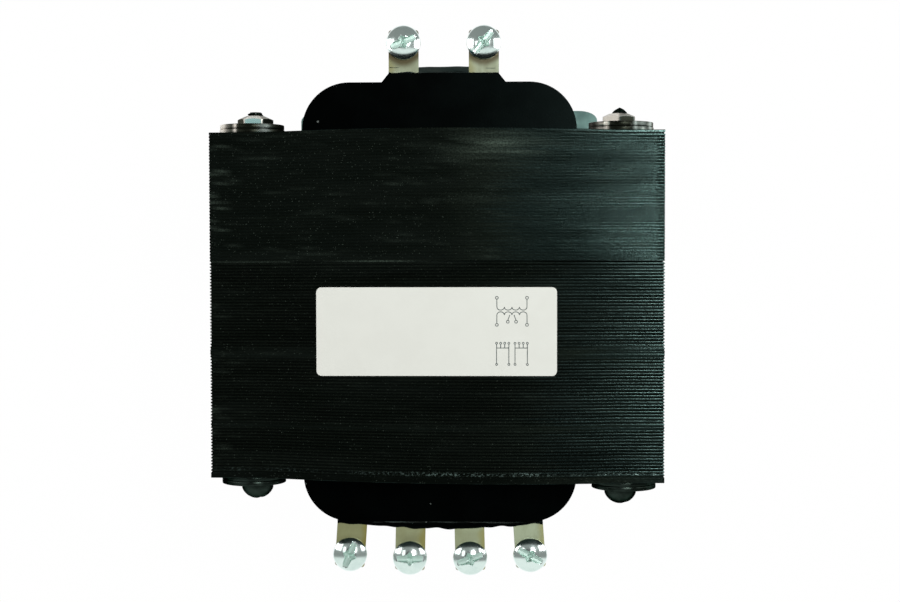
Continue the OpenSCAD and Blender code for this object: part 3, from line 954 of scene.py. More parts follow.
    def end_faces(self, piece: Patchwork, cells: Sequence[tuple[Array, Array]]) -> None:
        """Add both end faces as grids over the given ranges of lines."""
        for x_lines, z_lines in cells:
            x, z = np.meshgrid(x_lines, z_lines)
            for side in (-1, 1):
                y = self.placed(x, side * self.half, z) + (side > 0) * self.lifted(x, z)
                piece.grid(np.stack([x, y, z], axis=-1), crest=np.full(x.shape, self.side_shine))

    def build(self, material: Material) -> list[Piece]:
        """Build both stacks."""
        w, leg, win = self.lower.high[0], self.leg, self.window_out
        low, floor, joint, high = self.lower.low[2], self.window_low, self.lower.high[2], self.top
        upper = Patchwork("core_i_laminations")
        x_lines, z_lines = self.lines([-w, w], [1, -1]), self.lines([joint, high], [1, -1])
        sides = self.outline([(-w, joint), (w, joint), (w, high), (-w, high)], x_lines, z_lines)
        self.surface(upper, *sides, (0.20, 0.29, 0.5, 0.71, 0.80), (1.0, 0.12, 0.0, 0.12, 1.0))
        self.end_faces(upper, [(x_lines, z_lines)])
        lower = Patchwork("core_e_laminations")
        x_lines = self.lines([-w, -win, -leg, leg, win, w], [1, -1, 1, -1, 1, -1])
        z_lines = self.lines([low, floor, joint], [1, -1, -1])
        corners = [
            (-w, low), (w, low), (w, joint), (win, joint), (win, floor), (leg, floor), (leg, joint),
            (-leg, joint), (-leg, floor), (-win, floor), (-win, joint), (-w, joint),
        ]
        sides = self.outline(corners, x_lines, z_lines)
        self.surface(lower, *sides, (0.15, 0.27, 0.73, 0.85), (1.0, 0.0, 0.0, 1.0))
        margin = 2.0 * self.rim
        legs = z_lines[z_lines > floor - self.rim - SAME_PLACE]
        cells = [(x_lines, z_lines[z_lines < floor + SAME_PLACE])]
        for a, b in ((-w, -win), (-leg, leg), (win, w)):
            cells.append((x_lines[(x_lines > a - margin) & (x_lines < b + margin)], legs))
        self.end_faces(lower, cells)
        return [
            lower.build(material, "core", ["core_e_stack"], self.crease),
            upper.build(material, "core", ["core_i_stack"], self.crease),
        ]


@dataclass
class Coil:
    """Varnished wrap round the windings, with a tape over the head of the coil under the upper flange."""

    corner: float = 13.6 * MM
    thick: float = 0.8 * MM
    pull_in: float = 0.5 * MM
    lap_step: float = 0.3 * MM
    lap_place: float = 0.335
    lap_slant: float = 0.01
    wrinkle: float = 0.18 * MM
    head_tape_overlap: float = 0.5 * MM
    rows: int = 44
    columns: int = 320
    seed: int = 23

    def loop(self, size: Array, radius: float) -> Array:
        """Rectangle of that size with round corners, as points at equal steps of its length."""
        outline = round_rectangle(size[0], size[1], radius, 24)
        closed = np.vstack([outline, outline[:1]])
        run = run_length(closed)
        at = np.linspace(0.0, run[-1], self.columns, endpoint=False)
        return np.column_stack([np.interp(at, run, closed[:, i]) for i in (0, 1)])

    def build(self, material: Material) -> list[Piece]:
        """Build the wrap as a closed band whose outer side is crowned, wrinkled and lapped.

        Formula: the outer side lies inside the box by the pull-in at its edges, which falls off with the
        sixth power of the height, by wrinkles, and by one lap step except where the tape's end lies on top.
        """
        box, inner = Block.of("coil_wrap"), Block.of("outer_winding")
        outline, core = self.loop(box.size, self.corner), self.loop(inner.size, self.corner - self.thick)
        normal = outline - self.loop(box.size - 2 * MM, self.corner - 1.0 * MM)
        normal /= np.linalg.norm(normal, axis=1)[:, None]
        share = np.linspace(0.0, 1.0, self.rows)[:, None]
        turn = np.linspace(0.0, 1.0, self.columns, endpoint=False)
        height = box.low[2] + share * box.size[2]
        edge = self.pull_in * (2.0 * share - 1.0) ** 6
        waves, folds = Wander(self.seed, 1.0, 9).along(turn), Wander(self.seed + 1, 1.0, 30).along(turn)
        past = turn[None] - self.lap_place - self.lap_slant * share
        lap = self.lap_step * smooth_step(past, -0.001, 0.001)
        lap = lap * (1.0 - smooth_step(np.abs(past), 0.05, 0.2))
        sink = edge + self.wrinkle * (0.5 + 0.25 * waves + 0.25 * folds * np.sin(pi * share))
        sink = np.clip(sink + self.lap_step - lap, 0.0, None)
        side = outline[None] - normal[None] * sink[..., None]
        outer = np.dstack([side, np.broadcast_to(height, sink.shape)])
        rings = [np.column_stack([core, np.full(self.columns, z)]) for z in (box.high[2], box.low[2])]
        wrap = Patchwork("coil_wrap_tape")
        wrap.grid(np.concatenate([outer, np.stack(rings), outer[:1]]), wrap=True)
        return [wrap.build(material, "coil_wrap", ["coil_wrap"]), self.head_tape(material, outline, normal)]

    def head_tape(self, material: Material, outline: Array, normal: Array) -> Piece:
        """Build the band of tape between the coil's head and the upper flange, set in from the wrap."""
        low, high = Block.of("coil_wrap").high[2], Block.of("terminal_tab_x1").high[2] - 0.05 * MM
        foot = low - self.head_tape_overlap
        rings = [
            np.column_stack([outline - normal * inset * MM, np.full(self.columns, z)])
            for inset, z in ((2.2, foot), (1.7, low + 0.6 * MM), (1.9, high), (5.0, high), (5.0, foot))
        ]
        band = Patchwork("coil_head_tape")
        band.grid(np.stack([*rings, rings[0]]), wrap=True)
        return band.build(material, "coil_wrap")


@dataclass
class TerminalTapes:
    """Black tape at the roots of the terminals: a strip behind each row and a lip over the H roots.

    Each of the smudges is a line of dried varnish on an X tab, from left to right at y. The lip reaches
    further out by the second number, at the first along X, both in millimetres.
    """

    rolls: int = 2
    squareness: Pair = (0.25, 0.5)
    fold_power: float = 0.7
    fold_depth: float = 0.45
    seed: int = 31
    smudges: tuple[tuple[str, Triple], ...] = (
        ("x1", (-15.2 * MM, -12.3 * MM, 72.0 * MM)),
        ("x2", (14.3 * MM, 17.2 * MM, 71.7 * MM)),
    )
    lip_reach: tuple[Pair, ...] = (
        (-28.6, 1.2), (-20.0, 1.4), (-10.0, 2.2), (-2.0, 2.5), (3.5, 2.8), (9.0, 2.2), (15.0, 1.9),
        (28.6, 1.1),
    )

    def strip(
        self, name: str, low: Sequence[float], high: Sequence[float], wave: float, material: Material,
        seed: int, replaces: Sequence[str] = (), reach: Sequence[Pair] = ((0.0, 0.0),),
    ) -> Piece:
        """Build a strip along X inside a box, with a wavy free edge and lengthwise wrinkles.

        Formula: the section is a flat oval whose half axes follow the box, with its free side moved by the
        wander of its edge and its upper side by shallow folds.

        Args:
            name: Name of the piece.
            low: Lowest corner of the strip.
            high: Highest corner of the strip.
            wave: How far the free edge wanders.
            material: Finish.
            seed: What to add to the seed for its wander.
            replaces: Nodes that it stands for.
            reach: Places along X, and how much further out the free edge lies there, in millimetres.

        Returns:
            The strip.
        """
        side = 1 if low[1] + high[1] > 0 else -1
        seed = self.seed + seed
        x = np.linspace(low[0], high[0], 120)
        angle = full_turn(72)
        half_y, half_z = (high[1] - low[1]) / 2, (high[2] - low[2]) / 2
        edge = wave * (Wander(seed, 0.03, 6).along(x)[0] - 1.0) / 2.0
        edge = edge + np.interp(x, *(np.array(reach).T * MM))
        across = np.sign(np.cos(angle)) * np.abs(np.cos(angle)) ** self.squareness[0]
        up = np.sign(np.sin(angle)) * np.abs(np.sin(angle)) ** self.squareness[1]
        fold = Wander(seed + 1, 0.05, 5).along(x)[0][:, None]
        y = half_y * across + side * edge[:, None] * smooth_step(side * across, 0.0, 1.0)
        waves = np.sin(pi * self.rolls * (across + 1.0 + 0.05 * fold) / 2.0)
        sunk = self.fold_depth * (1.0 - np.abs(waves) ** self.fold_power)
        z = half_z * up * (1.0 - sunk * (up > 0.0) - 0.05 * (1.0 + fold))
        middle = [np.full_like(x, (low[i] + high[i]) / 2) for i in (1, 2)]
        sections = np.stack([np.zeros_like(y), y, z], axis=-1)
        piece = Patchwork(name)
        piece.grid(swept(np.column_stack([x, *middle]), sections), wrap=True)
        return piece.build(material, "backing", replaces, 50.0)

    def build(self, material: Material, dull: Material) -> list[Piece]:
        """Build both strips, the dull lip over the H roots, the bead at its inner edge and the smudges."""
        rear, front = Block.of("x_terminal_backing"), Block.of("h_terminal_backing")
        tab, top = (Block.of(f"terminal_tab_{name}").high[2] for name in ("x1", "h2"))
        edge, ridge = Block.of("bobbin").low[1], top + 0.6 * MM
        left, right = front.low[0], front.high[0]
        tape = (rear.low, rear.high + np.array([0.0, 0.5 * MM, 0.9 * MM]))
        lip = ((left, edge - 0.2 * MM, top - 0.05 * MM), (right, edge + 0.3 * MM, ridge))
        bead = (
            (-21.0 * MM, edge - 0.55 * MM, ridge - 0.2 * MM),
            (right - 1.0 * MM, edge - 0.05 * MM, ridge + 0.4 * MM),
        )
        made = [
            self.strip("x_backing_tape", *tape, 0.15 * MM, material, 0, ["x_terminal_backing"]),
            self.strip("h_backing_tape", front.low, front.high, 0.9 * MM, dull, 5, ["h_terminal_backing"]),
            self.strip("h_root_tape", *lip, 0.5 * MM, dull, 9, reach=self.lip_reach),
            self.strip("h_root_bead", *bead, 0.2 * MM, material, 12),
        ]
        for tab_name, (start, end, y) in self.smudges:
            name = f"varnish_smudge_{tab_name}"
            low, high = (start, y, tab - 0.1 * MM), (end, y + 0.28 * MM, tab + 0.05 * MM)
            made.append(self.strip(name, low, high, 0.2 * MM, material, len(name) + int(end / MM)))
        return made


@dataclass(frozen=True)
class Head:
    """Round domed head with its recess: sizes in metres, heights from its seat, slopes as rise over run."""

    diameter: float
    rim: float
    dome: float
    slot: float
    depth: float
    drive: Drive
    cross: float = 0.0
    ease: float = 0.10 * MM
    trough: float = 0.10
    side_slope: float = 3.0
    cross_slope: float = 0.62
    cross_depth: float = 1.5

    def height(self, u: Array, v: Array) -> tuple[Array, Array]:
        """Height of the head at (u, v), with u along the slot, and how far it is a recess, from 0 to 1.

        Formula: the lowest of three surfaces. The dome is a sphere's cap over the rim, eased at its edge;
        the slot's floor is a shallow trough and rises steeply past the slot's sides; the cross recess is a
        pyramid that stands on its point, whose height grows with |u| + |v|.
        """
        radius = self.diameter / 2
        ball = (radius**2 + self.dome**2) / (2.0 * self.dome)
        r = np.hypot(u, v)
        cap = self.rim + np.sqrt(np.clip(ball**2 - r**2, 0.0, None)) - (ball - self.dome)
        cap = cap - self.ease * smooth_step(r, radius - 2.0 * self.ease, radius)
        top = self.rim + self.dome
        past = np.clip(np.abs(v) - self.slot / 2, 0.0, None)
        floor = top - self.depth + self.trough * (np.abs(v) - self.slot / 4) + self.side_slope * past
        lowest = np.minimum(cap, floor)
        if self.drive is Drive.SLOT_AND_CROSS:
            reach = np.abs(u) + np.abs(v)
            pyramid = top - self.cross_depth * self.depth + self.cross_slope * reach
            rim = top + self.side_slope * (reach - self.cross / 2)
            lowest = np.minimum(lowest, np.maximum(pyramid, rim))
        return lowest, smooth_step(cap - lowest, 0.05 * MM, 0.3 * MM)

    def add_to(self, piece: Patchwork, place: Place, lines: int) -> None:
        """Add the head as a closed solid.

        Formula: rows of the grid run along the slot at v, each as long as the circle is there; the rows lie
        closer at the slot and at the rim, and two of them lie on the slot's sides.
        """
        radius = self.diameter / 2
        t = np.linspace(-1.0, 1.0, lines)
        dense = np.sin(t * (0.38 + 0.62 * t**2) * pi / 2)
        v = radius * dense
        for side in (-self.slot / 2, self.slot / 2):
            v[np.argmin(np.abs(v - side))] = side
        half = np.sqrt(np.clip(radius**2 - v**2, 0.0, None))[:, None]
        u, v = half * dense[None], np.repeat(v[:, None], lines, axis=1)
        height, recess = self.height(u, v)
        top = np.stack([u, v, height], axis=-1)
        edge = np.concatenate([top[:, -1], top[::-1, 0]])
        flat = edge * np.array([1.0, 1.0, 0.0])
        piece.grid(place.world(top), recess=recess)
        piece.grid(place.world(np.stack([edge, flat, 0.0 * flat])))


@dataclass(frozen=True)
class Thread:
    """Screw thread along local Z: its outer diameter, pitch and depth in metres."""

    diameter: float = THREAD_DIAMETER
    pitch: float = 0.8 * MM
    depth: float = 0.38 * MM
    tip_length: float = 0.6 * MM
    steps: int = 6
    sectors: int = 40

    def surface(self, start: float, end: float) -> Array:
        """Local points from start to end, closed at both ends.

        Formula: the radius falls from the outer radius by the depth times a triangle wave of the height
        over the pitch less the share of the turn, and by a quarter at the tip.
        """
        length = abs(end - start)
        height = np.linspace(start, end, max(4, int(length / self.pitch * self.steps)))[:, None]
        angle = full_turn(self.sectors)[None]
        wave = np.abs(2.0 * ((height / self.pitch - angle / (2.0 * pi)) % 1.0) - 1.0)
        tip = 1.0 - 0.25 * smooth_step(np.abs(height - start), length - self.tip_length, length)
        body = polar(angle, (self.diameter / 2 - self.depth * wave) * tip, height)
        poles = body[[0, -1]] * np.array([0.0, 0.0, 1.0])
        return np.concatenate([poles[:1], body, poles[1:]])


@dataclass
class Terminals:
    """Six binding-screw terminals, fanned out from the edges of the upper flange."""

    fan: float = 2.6
    grip: float = 8.0 * MM
    tab_width: float = 9.2 * MM
    tab_thick: float = 0.8 * MM
    tab_end: float = 3.9 * MM
    tab_cell: float = 0.7 * MM
    corner: float = 0.9 * MM
    break_edge: float = 0.12 * MM
    collar_wall: float = 1.2 * MM
    collar_stain: float = 0.25
    h_painted_shade: Pair = (0.50, 0.13)
    h_yellow: Triple = (0.62, 0.14, 0.5)
    x_stain_and_head_shade: Triple = (0.22, 0.7, 0.2)
    x_yellow: float = 0.45
    head_shadow_ring: Pair = (5.3 * MM, 7.2 * MM)
    clean_root: Pair = (8.0 * MM, 10.5 * MM)
    head_rim: float = 0.9 * MM
    head_slot: float = 1.5 * MM
    head_slot_depth: float = 1.3 * MM
    head_cross: float = 4.5 * MM
    head_lines: int = 78
    slot_angles: tuple[tuple[str, float], ...] = (
        ("x1", 22.0), ("x2", 50.0), ("h1", 67.0), ("h2", 0.0), ("h3", 20.0), ("h4", -28.0)
    )

    def heading(self, name: str) -> float:
        """Turn of a tab's outward direction from +Y, in radians, by its place in its row."""
        return 0.0 if name[0] == "x" else pi + radians(self.fan) * (int(name[1]) - 2.5)

    def tab(self, name: str, material: Material) -> Piece:
        """Build one tab: a plate with broken edges, and the collar below its screw."""
        node, screw = Block.of(f"terminal_tab_{name}"), Block.of(f"terminal_screw_{name}")
        flange = Block.of("bobbin")
        reach = max(screw.centre[1] - flange.high[1], flange.low[1] - screw.centre[1])
        length = self.grip + reach + self.tab_end
        under = node.high[2] - self.tab_thick
        place = Place.upright([*screw.centre[:2], under], self.heading(name))
        middle = np.array([0.0, self.tab_end - length / 2])

        def outline(inset: float) -> Array:
            """Outline of the plate, set in by inset."""
            size = self.tab_width - 2 * inset, length - 2 * inset
            return middle + subdivided(round_rectangle(*size, self.corner - inset, 6), self.tab_cell)

        b, thick = self.break_edge, self.tab_thick
        plate = stacked(outline, [(b, 0.0), (0.0, b), (0.0, thick - b), (b, thick)], 14)
        piece = Patchwork(f"tab_{name}")
        piece.grid(place.world(plate), wrap=True, **self.tarnish_and_painted_shade(plate, name))
        drop, bore, overlap = under - node.low[2], THREAD_DIAMETER / 2, SEAT_OVERLAP / 2
        out = bore + self.collar_wall
        start = (bore, overlap)
        collar = [start, (bore, -drop), (out - b, -drop), (out, b - drop), (out, overlap), start]
        ring = turned(np.array(collar), 40)
        piece.grid(place.world(ring), wrap=True, stain=np.full(ring.shape[:2], self.collar_stain))
        return piece.build(material, "terminal_tabs", [f"terminal_tab_{name}"])

    def tarnish_and_painted_shade(self, plate: Array, name: str) -> dict[str, Array]:
        """Browning and yellowing of a plate, the browning partly stains and partly painted shade.

        Formula: an X tab browns from the rim of its screw's head towards its root, a painted shadow and
        reflection of the head over a little staining; an H tab is darkened all over by painted shade, less
        so from h1 to h4; both turn yellow along one side by a wandering amount.
        """
        side, along = plate[..., 0] / (self.tab_width / 2), plate[..., 1]
        wander = Wander(sum(map(ord, name)), 0.02, 5).along(along.ravel())[0].reshape(along.shape)
        yellow = smooth_step(-side + 0.12 * wander, 0.45, 1.0)
        if name[0] == "h":
            place = int(name[1])
            (dull, cleaner), (yellowed, paler, sided) = self.h_painted_shade, self.h_yellow
            # Painted shade: the H tabs darken from h4 to h1.
            stain = dull - cleaner * place + 0.10 * wander * (1.0 - side**2)
            return {"stain": stain, "yellow": yellowed - paler * place + sided * yellow}
        rim = np.hypot(plate[..., 0], along + 0.6 * MM)
        # Painted shadow and reflection of the screw's head, in a ring just outside its rim.
        near = 1.0 - smooth_step(rim, self.head_shadow_ring[0], self.head_shadow_ring[1] + 0.3 * MM * wander)
        root = smooth_step(-along, *self.clean_root)
        least, head_shade, cleaned = self.x_stain_and_head_shade
        stain = least + head_shade * near - cleaned * root + 0.05 * (1.0 + wander)
        return {"stain": stain, "yellow": self.x_yellow * yellow}

    def screw(self, name: str, slot_angle: float, material: Material) -> Piece:
        """Build one binding screw from its head down to the end of its thread."""
        node, seat = Block.of(f"terminal_screw_{name}"), Block.of(f"terminal_tab_{name}").high[2]
        place = Place.upright([*node.centre[:2], seat], radians(slot_angle))
        dome = node.high[2] - seat - self.head_rim
        head = Head(
            node.size[0], self.head_rim, dome, self.head_slot, self.head_slot_depth, Drive.SLOT_AND_CROSS,
            self.head_cross,
        )
        piece = Patchwork(f"binding_screw_{name}")
        head.add_to(piece, place, self.head_lines)
        piece.grid(place.world(Thread().surface(SEAT_OVERLAP, node.low[2] - seat)), wrap=True)
        return piece.build(material, "terminal_screws", [f"terminal_screw_{name}"], 28.0)

    def build(self, tab: Material, screw: Material) -> list[Piece]:
        """Build all six terminals."""
        tabs = [self.tab(name, tab) for name, _ in self.slot_angles]
        return tabs + [self.screw(name, angle, screw) for name, angle in self.slot_angles]


@dataclass
class ClampHardware:
    """Four bolts through the stack, each with a head, two stacked washers at each end and a nut.

    Some corners differ. nut_shift moves a nut along X and short takes length off a thread.
    washer_cover gives places across a pair of washers, from -1 to 1, and how far varnish and
    painted shade darken them there, and washer_bloom gives the place, half width and strength of
    each pale patch of painted glint and reflection on them.
    """

    head_rim: float = 1.7 * MM
    head_slot: float = 1.3 * MM
    head_slot_depth: float = 1.4 * MM
    head_turn: float = 35.0
    head_lines: int = 60
    plain_length: float = 14.0 * MM
    nut_flats: float = 9.5 * MM
    nut_corner: float = 5.38 * MM
    nut_crown: float = 2.6 * MM
    nut_slope: float = 0.45
    nut_chamfer: float = 0.35 * MM
    nut_gap: float = 0.05 * MM
    nut_rim: float = 0.12 * MM
    nut_rings: int = 10
    nut_covered: Pair = (-45.0, 15.0)
    nut_bloom: Triple = (0.35, 0.3, 0.95)
    nut_varnish: Pair = (0.85, 0.15)
    washer_bore: float = 7.1 * MM
    washer_gap: float = 0.12 * MM
    washer_edge: float = 0.2 * MM
    second_washer: float = 0.15 * MM
    warm_side: Triple = (0.2, 1.0, 0.45)
    burr_radius: float = 2.1 * MM
    burr_height: float = 1.9 * MM
    burr_shift: float = -0.4 * MM
    burr_seed: int = 71
    plain_cover: ClassVar[tuple[Pair, ...]] = ((0.0, 0.66),)
    nut_shift: ClassVar[dict[Corner, float]] = {Corner.UPPER_RIGHT: -0.6 * MM}
    short: ClassVar[dict[Corner, float]] = {Corner.UPPER_LEFT: 0.45 * MM, Corner.UPPER_RIGHT: 1.6 * MM}
    washer_cover: ClassVar[dict[Corner, tuple[Pair, ...]]] = {
        Corner.UPPER_LEFT: (
            (-0.72, 0.3), (-0.64, 0.95), (0.18, 0.95), (0.3, 0.6), (0.5, 0.6), (0.6, 0.95),
        ),
        Corner.UPPER_RIGHT: (
            (-0.6, 0.75), (-0.54, 0.4), (-0.42, 0.4), (-0.36, 1.0), (-0.06, 1.0), (0.02, 0.6),
        ),
    }
    washer_bloom: ClassVar[dict[Corner, tuple[Triple, ...]]] = {
        Corner.UPPER_LEFT: ((-0.86, 0.15, 1.0), (-0.39, 0.04, 0.6), (0.50, 0.12, 0.35)),
        Corner.UPPER_RIGHT: (
            (-0.93, 0.06, 0.3), (-0.70, 0.12, 0.2), (-0.50, 0.05, 0.8), (0.37, 0.05, 0.5),
            (0.62, 0.16, 0.2), (0.85, 0.05, 0.7),
        ),
    }

    @staticmethod
    def box(kind: str, corner: Corner) -> Block:
        """Box of a node of that kind at that corner."""
        return Block.of(f"{kind}_{corner.suffix}")

    def bolt(self, corner: Corner, material: Material) -> Piece:
        """Build one bolt from its head at the front to the end of its thread behind its nut."""
        bolt, seat = self.box("clamp_bolt", corner), self.box("head_washer", corner).low[1]
        place = Place.along_y([bolt.centre[0], seat, bolt.centre[2]], -1, radians(self.head_turn))
        dome = seat - bolt.low[1] - self.head_rim
        head = Head(bolt.size[0], self.head_rim, dome, self.head_slot, self.head_slot_depth, Drive.SLOT)
        end = seat - bolt.high[1] + self.short.get(corner, 0.0)
        radius, plain = THREAD_DIAMETER / 2, end + self.plain_length
        shank = [(0.0, SEAT_OVERLAP), (radius, SEAT_OVERLAP), (radius, plain), (0.0, plain)]
        piece = Patchwork(f"through_bolt_{corner.suffix}")
        head.add_to(piece, place, self.head_lines)
        piece.grid(place.world(turned(np.array(shank), 40)), wrap=True)
        piece.grid(place.world(Thread().surface(plain, end)), wrap=True)
        return piece.build(material, "painted_bolts", [f"clamp_bolt_{corner.suffix}"])

    def nut(self, corner: Corner, material: Material) -> Piece:
        """Build one nut.

        Formula: the radius of the hexagon at angle a is half its flats over the cosine of the angle from
        the nearest flat's middle; outside the crown's radius the top falls as a cone, which leaves an arc
        on each flat. Varnish and painted shade darken the flats that look further to the left or right of
        straight up than nut_covered says. The others take pale painted glints and reflections, and the
        darkened flats take them only on the cone and on edges: cool where they look up, warm to the left,
        on the cone and on edges.
        """
        node, start = self.box("clamp_nut", corner), self.box("nut_washer", corner).high[1]
        middle = node.centre[0] + self.nut_shift.get(corner, 0.0)
        place = Place.along_y([middle, start, node.centre[2]], 1, -corner.nut_turn)
        tall, flat = node.high[1] - start, pi / 3
        angle = full_turn(96)
        hexagon = np.minimum((self.nut_flats / 2) / np.cos((angle % flat) - flat / 2), self.nut_corner)
        bore = THREAD_DIAMETER / 2 + self.nut_gap
        share = np.linspace(0.0, 1.0, self.nut_rings)[:, None]
        radius = bore + self.nut_chamfer + (hexagon[None] - bore - self.nut_chamfer) * share
        top = tall - np.clip(radius - self.nut_crown, 0.0, None) * self.nut_slope
        inside, outside = polar(angle, bore, 0.0), polar(angle, hexagon, 0.0)
        mouth = polar(angle, bore, tall - self.nut_chamfer)
        rim = polar(angle, hexagon, top[-1] - self.nut_rim)
        rows = [inside, mouth, *polar(angle, radius, top), rim, outside, inside]
        cone = np.array([2 <= row < 2 + self.nut_rings for row in range(len(rows))], float)[:, None]
        face = (np.floor(angle / flat) + 0.5) * pi / 3
        look = np.degrees((pi / 2 + face + corner.nut_turn + pi) % (2.0 * pi) - pi)
        # Flats that look well to the left or right are darkened: varnish and painted shade.
        varnished_and_shaded = (look > self.nut_covered[1]) | (look < self.nut_covered[0])
        edge = bell((angle + flat / 2) % flat - flat / 2, 0.0, 0.05)
        on_cone, on_edge, on_flat = self.nut_bloom
        bloom = np.where(varnished_and_shaded, on_cone * cone + on_edge * edge, on_flat)
        warm = np.clip(np.clip(-look / 30.0, 0.0, 1.0) + 0.8 * cone + edge, 0.0, 1.0)
        varnish = np.where(varnished_and_shaded, *self.nut_varnish)
        piece = Patchwork(f"hex_nut_{corner.suffix}")
        piece.grid(place.world(np.stack(rows)), wrap=True, varnish=varnish[None], bloom=bloom, warm=warm)
        return piece.build(material, "plated_nuts", [f"clamp_nut_{corner.suffix}"], 20.0)

    def washers(
        self, corner: Corner, side: int, names: tuple[str, str], slot: str, material: Material
    ) -> Piece:
        """Build the pair of washers at one end of a bolt: two discs with broken edges."""
        name, node = (f"{kind}_{corner.suffix}" for kind in names)
        box = Block.of(node)
        place = Place.along_y([box.centre[0], (box.low if side > 0 else box.high)[1], box.centre[2]], side)
        outer, bore = box.size[0] / 2, self.washer_bore / 2
        each = (box.size[1] - self.washer_gap) / 2
        cover = np.array(self.washer_cover.get(corner, self.plain_cover)).T
        patches = self.washer_bloom.get(corner, ())
        limit, left, right = self.warm_side
        piece = Patchwork(name)
        for floor, reach in ((0.0, outer), (each + self.washer_gap, outer - self.second_washer)):
            b, top, c = self.washer_edge, floor + each, 0.3 * self.washer_edge
            disc = turned(np.array([
                (bore, floor + b), (bore + b, floor), (reach - b, floor), (reach - c, floor + c),
                (reach, floor + b), (reach, top - b), (reach - c, top - c), (reach - b, top),
                (bore + b, top), (bore, top - b), (bore, floor + b),
            ]), 96)
            across = disc[..., 0] / outer
            # Painted glints and reflections at the listed places across the washers.
            marks = [share * bell(across, at, wide) for at, wide, share in patches]
            bloom = np.clip(sum(marks, np.zeros(disc.shape[:2])), 0.0, 1.0)
            # Varnish and painted shade across the washers; the painted glints are fully warm left of the
            # limit.
            varnish, warm = np.interp(across, *cover), np.where(across < limit, left, right)
            piece.grid(place.world(disc), wrap=True, varnish=varnish, bloom=bloom, warm=warm)
        return piece.build(material, slot, [node], 35.0)

    def burr(self, corner: Corner, material: Material) -> Piece:
        """Build the ragged lump of varnish on the sheared end of a bolt.

        Formula: a dome whose radius and height wander with the angle.
        """
        bolt, nut = self.box("clamp_bolt", corner), self.box("clamp_nut", corner)
        middle = bolt.centre[0] + self.burr_shift
        place = Place.along_y([middle, nut.high[1] - 0.1 * MM, bolt.centre[2]], 1)
        angle = full_turn(64)
        ragged = Wander(self.burr_seed, 2.0 * pi, 12).along(angle)
        share = np.linspace(0.0, 1.0, 14)[:, None]
        radius = self.burr_radius * np.cos(share * pi / 2) ** 1.3 * (1.0 + 0.20 * ragged)
        dome = polar(angle, radius, self.burr_height * share * (1.0 + 0.35 * ragged * (1.0 - share)))
        piece = Patchwork(f"bolt_burr_{corner.suffix}")
        piece.grid(place.world(np.concatenate([np.zeros_like(dome[:1]), dome])), wrap=True)
        return piece.build(material, "painted_bolts")

    def build(self, painted: Material, plated: Material) -> list[Piece]:
        """Build the hardware of all four corners."""
        made = []
        for corner in Corner:
            made += [
                self.bolt(corner, painted),
                self.nut(corner, plated),
                self.washers(corner, -1, ("front_washers", "head_washer"), "painted_bolts", painted),
                self.washers(corner, 1, ("rear_washers", "nut_washer"), "plated_nuts", plated),
            ]
        return [*made, self.burr(Corner.UPPER_RIGHT, painted)]


@dataclass
class RatingLabel:
    """Paper label with its maker's side bare and a plain winding diagram at its right."""

    corner: float = 1.5 * MM
    break_edge: float = 0.05 * MM
    stroke: float = 0.22 * MM
    ink: float = 0.02 * MM
    diagram: Pair = (22.1 * MM, 1.0 * MM)
    ring_radius: float = 0.42
    small: float = 0.7

    def build(self, paper: Material, ink: Material) -> list[Piece]:
        """Build the label and its print."""
        box = Block.of("rating_label")
        middle, thick, b = box.centre[:2], box.size[2], self.break_edge

        def outline(inset: float) -> Array:
            """Outline of the label, set in by inset."""
            size = box.size[0] - 2 * inset, box.size[1] - 2 * inset
            return middle + round_rectangle(*size, self.corner - inset * 0.5)

        sheet = stacked(outline, [(b, 0.0), (0.0, b), (0.0, thick - b), (b, thick)])
        sheet[..., 2] += box.low[2]
        label, diagram = Patchwork("label_sheet"), Patchwork("label_diagram")
        label.grid(sheet, wrap=True)
        origin = np.array([*(middle + self.diagram), box.high[2] + self.ink / 2])
        for stroke in self.strokes():
            self.draw(diagram, origin, stroke * MM)
        return [label.build(paper, "label", ["rating_label"]), diagram.build(ink, "label")]

    def strokes(self) -> list[Array]:
        """Lines of the diagram in mm from its middle: windings, their leads and two link blocks."""
        turn = np.linspace(0.0, pi, 9)
        arch = np.column_stack([np.cos(turn), np.sin(turn)])
        ring = np.column_stack([np.cos(2 * turn), np.sin(2 * turn)]) * self.ring_radius
        lines = []
        for x in np.linspace(-3.3, 3.3, 4):
            lines += [arch * [1.1, -0.9] + [x, 6.2], arch * [1.1, 0.9] + [x, 3.9]]

        def lead(x: float, start: float, end: float) -> Array:
            """Line across the diagram at x."""
            return np.array([[x, start], [x, end]])

        for side in (-1, 1):
            outer, near, inner = side * 4.4, side * 1.2, side * 0.6
            lines += [lead(outer, 6.2, 8.4), lead(outer, 3.9, 1.5)]
            lines += [ring + [outer, 8.9], ring + [outer, 1.0]]
            lines += [ring + [near, 1.9], np.array([[near, 2.3], [inner, 3.9]])]
            for x in (side * 0.9, side * 2.1, side * 3.3, side * 4.5):
                lines += [ring * self.small + [x, -4.4], lead(x, -4.8, -5.8)]
            lines.append(np.array([[side * 0.9, -5.8], [side * 4.5, -5.8]]))
            for x in (side * 0.9, side * 4.5):
                lines += [lead(x, -5.8, -10.2), ring * self.small + [x, -10.6]]
        return lines

    def draw(self, piece: Patchwork, origin: Array, line: Array) -> None:
        """Add one stroke as a thin closed ribbon along a line.

        Formula: at each point the ribbon reaches half its width to both sides, square to the line.
        """
        ahead = np.gradient(line, axis=0)
        ahead /= np.linalg.norm(ahead, axis=1)[:, None]
        across = np.column_stack([-ahead[:, 1], ahead[:, 0]]) * self.stroke / 2
        up = np.full(len(line), self.ink / 2)
        sides = [(across, -up), (across, up), (-across, up), (-across, -up)]
        sections = np.stack([np.column_stack(side) for side in sides], axis=1)
        path = origin + np.column_stack([line, np.zeros(len(line))])
        piece.grid(swept(path, sections), wrap=True)


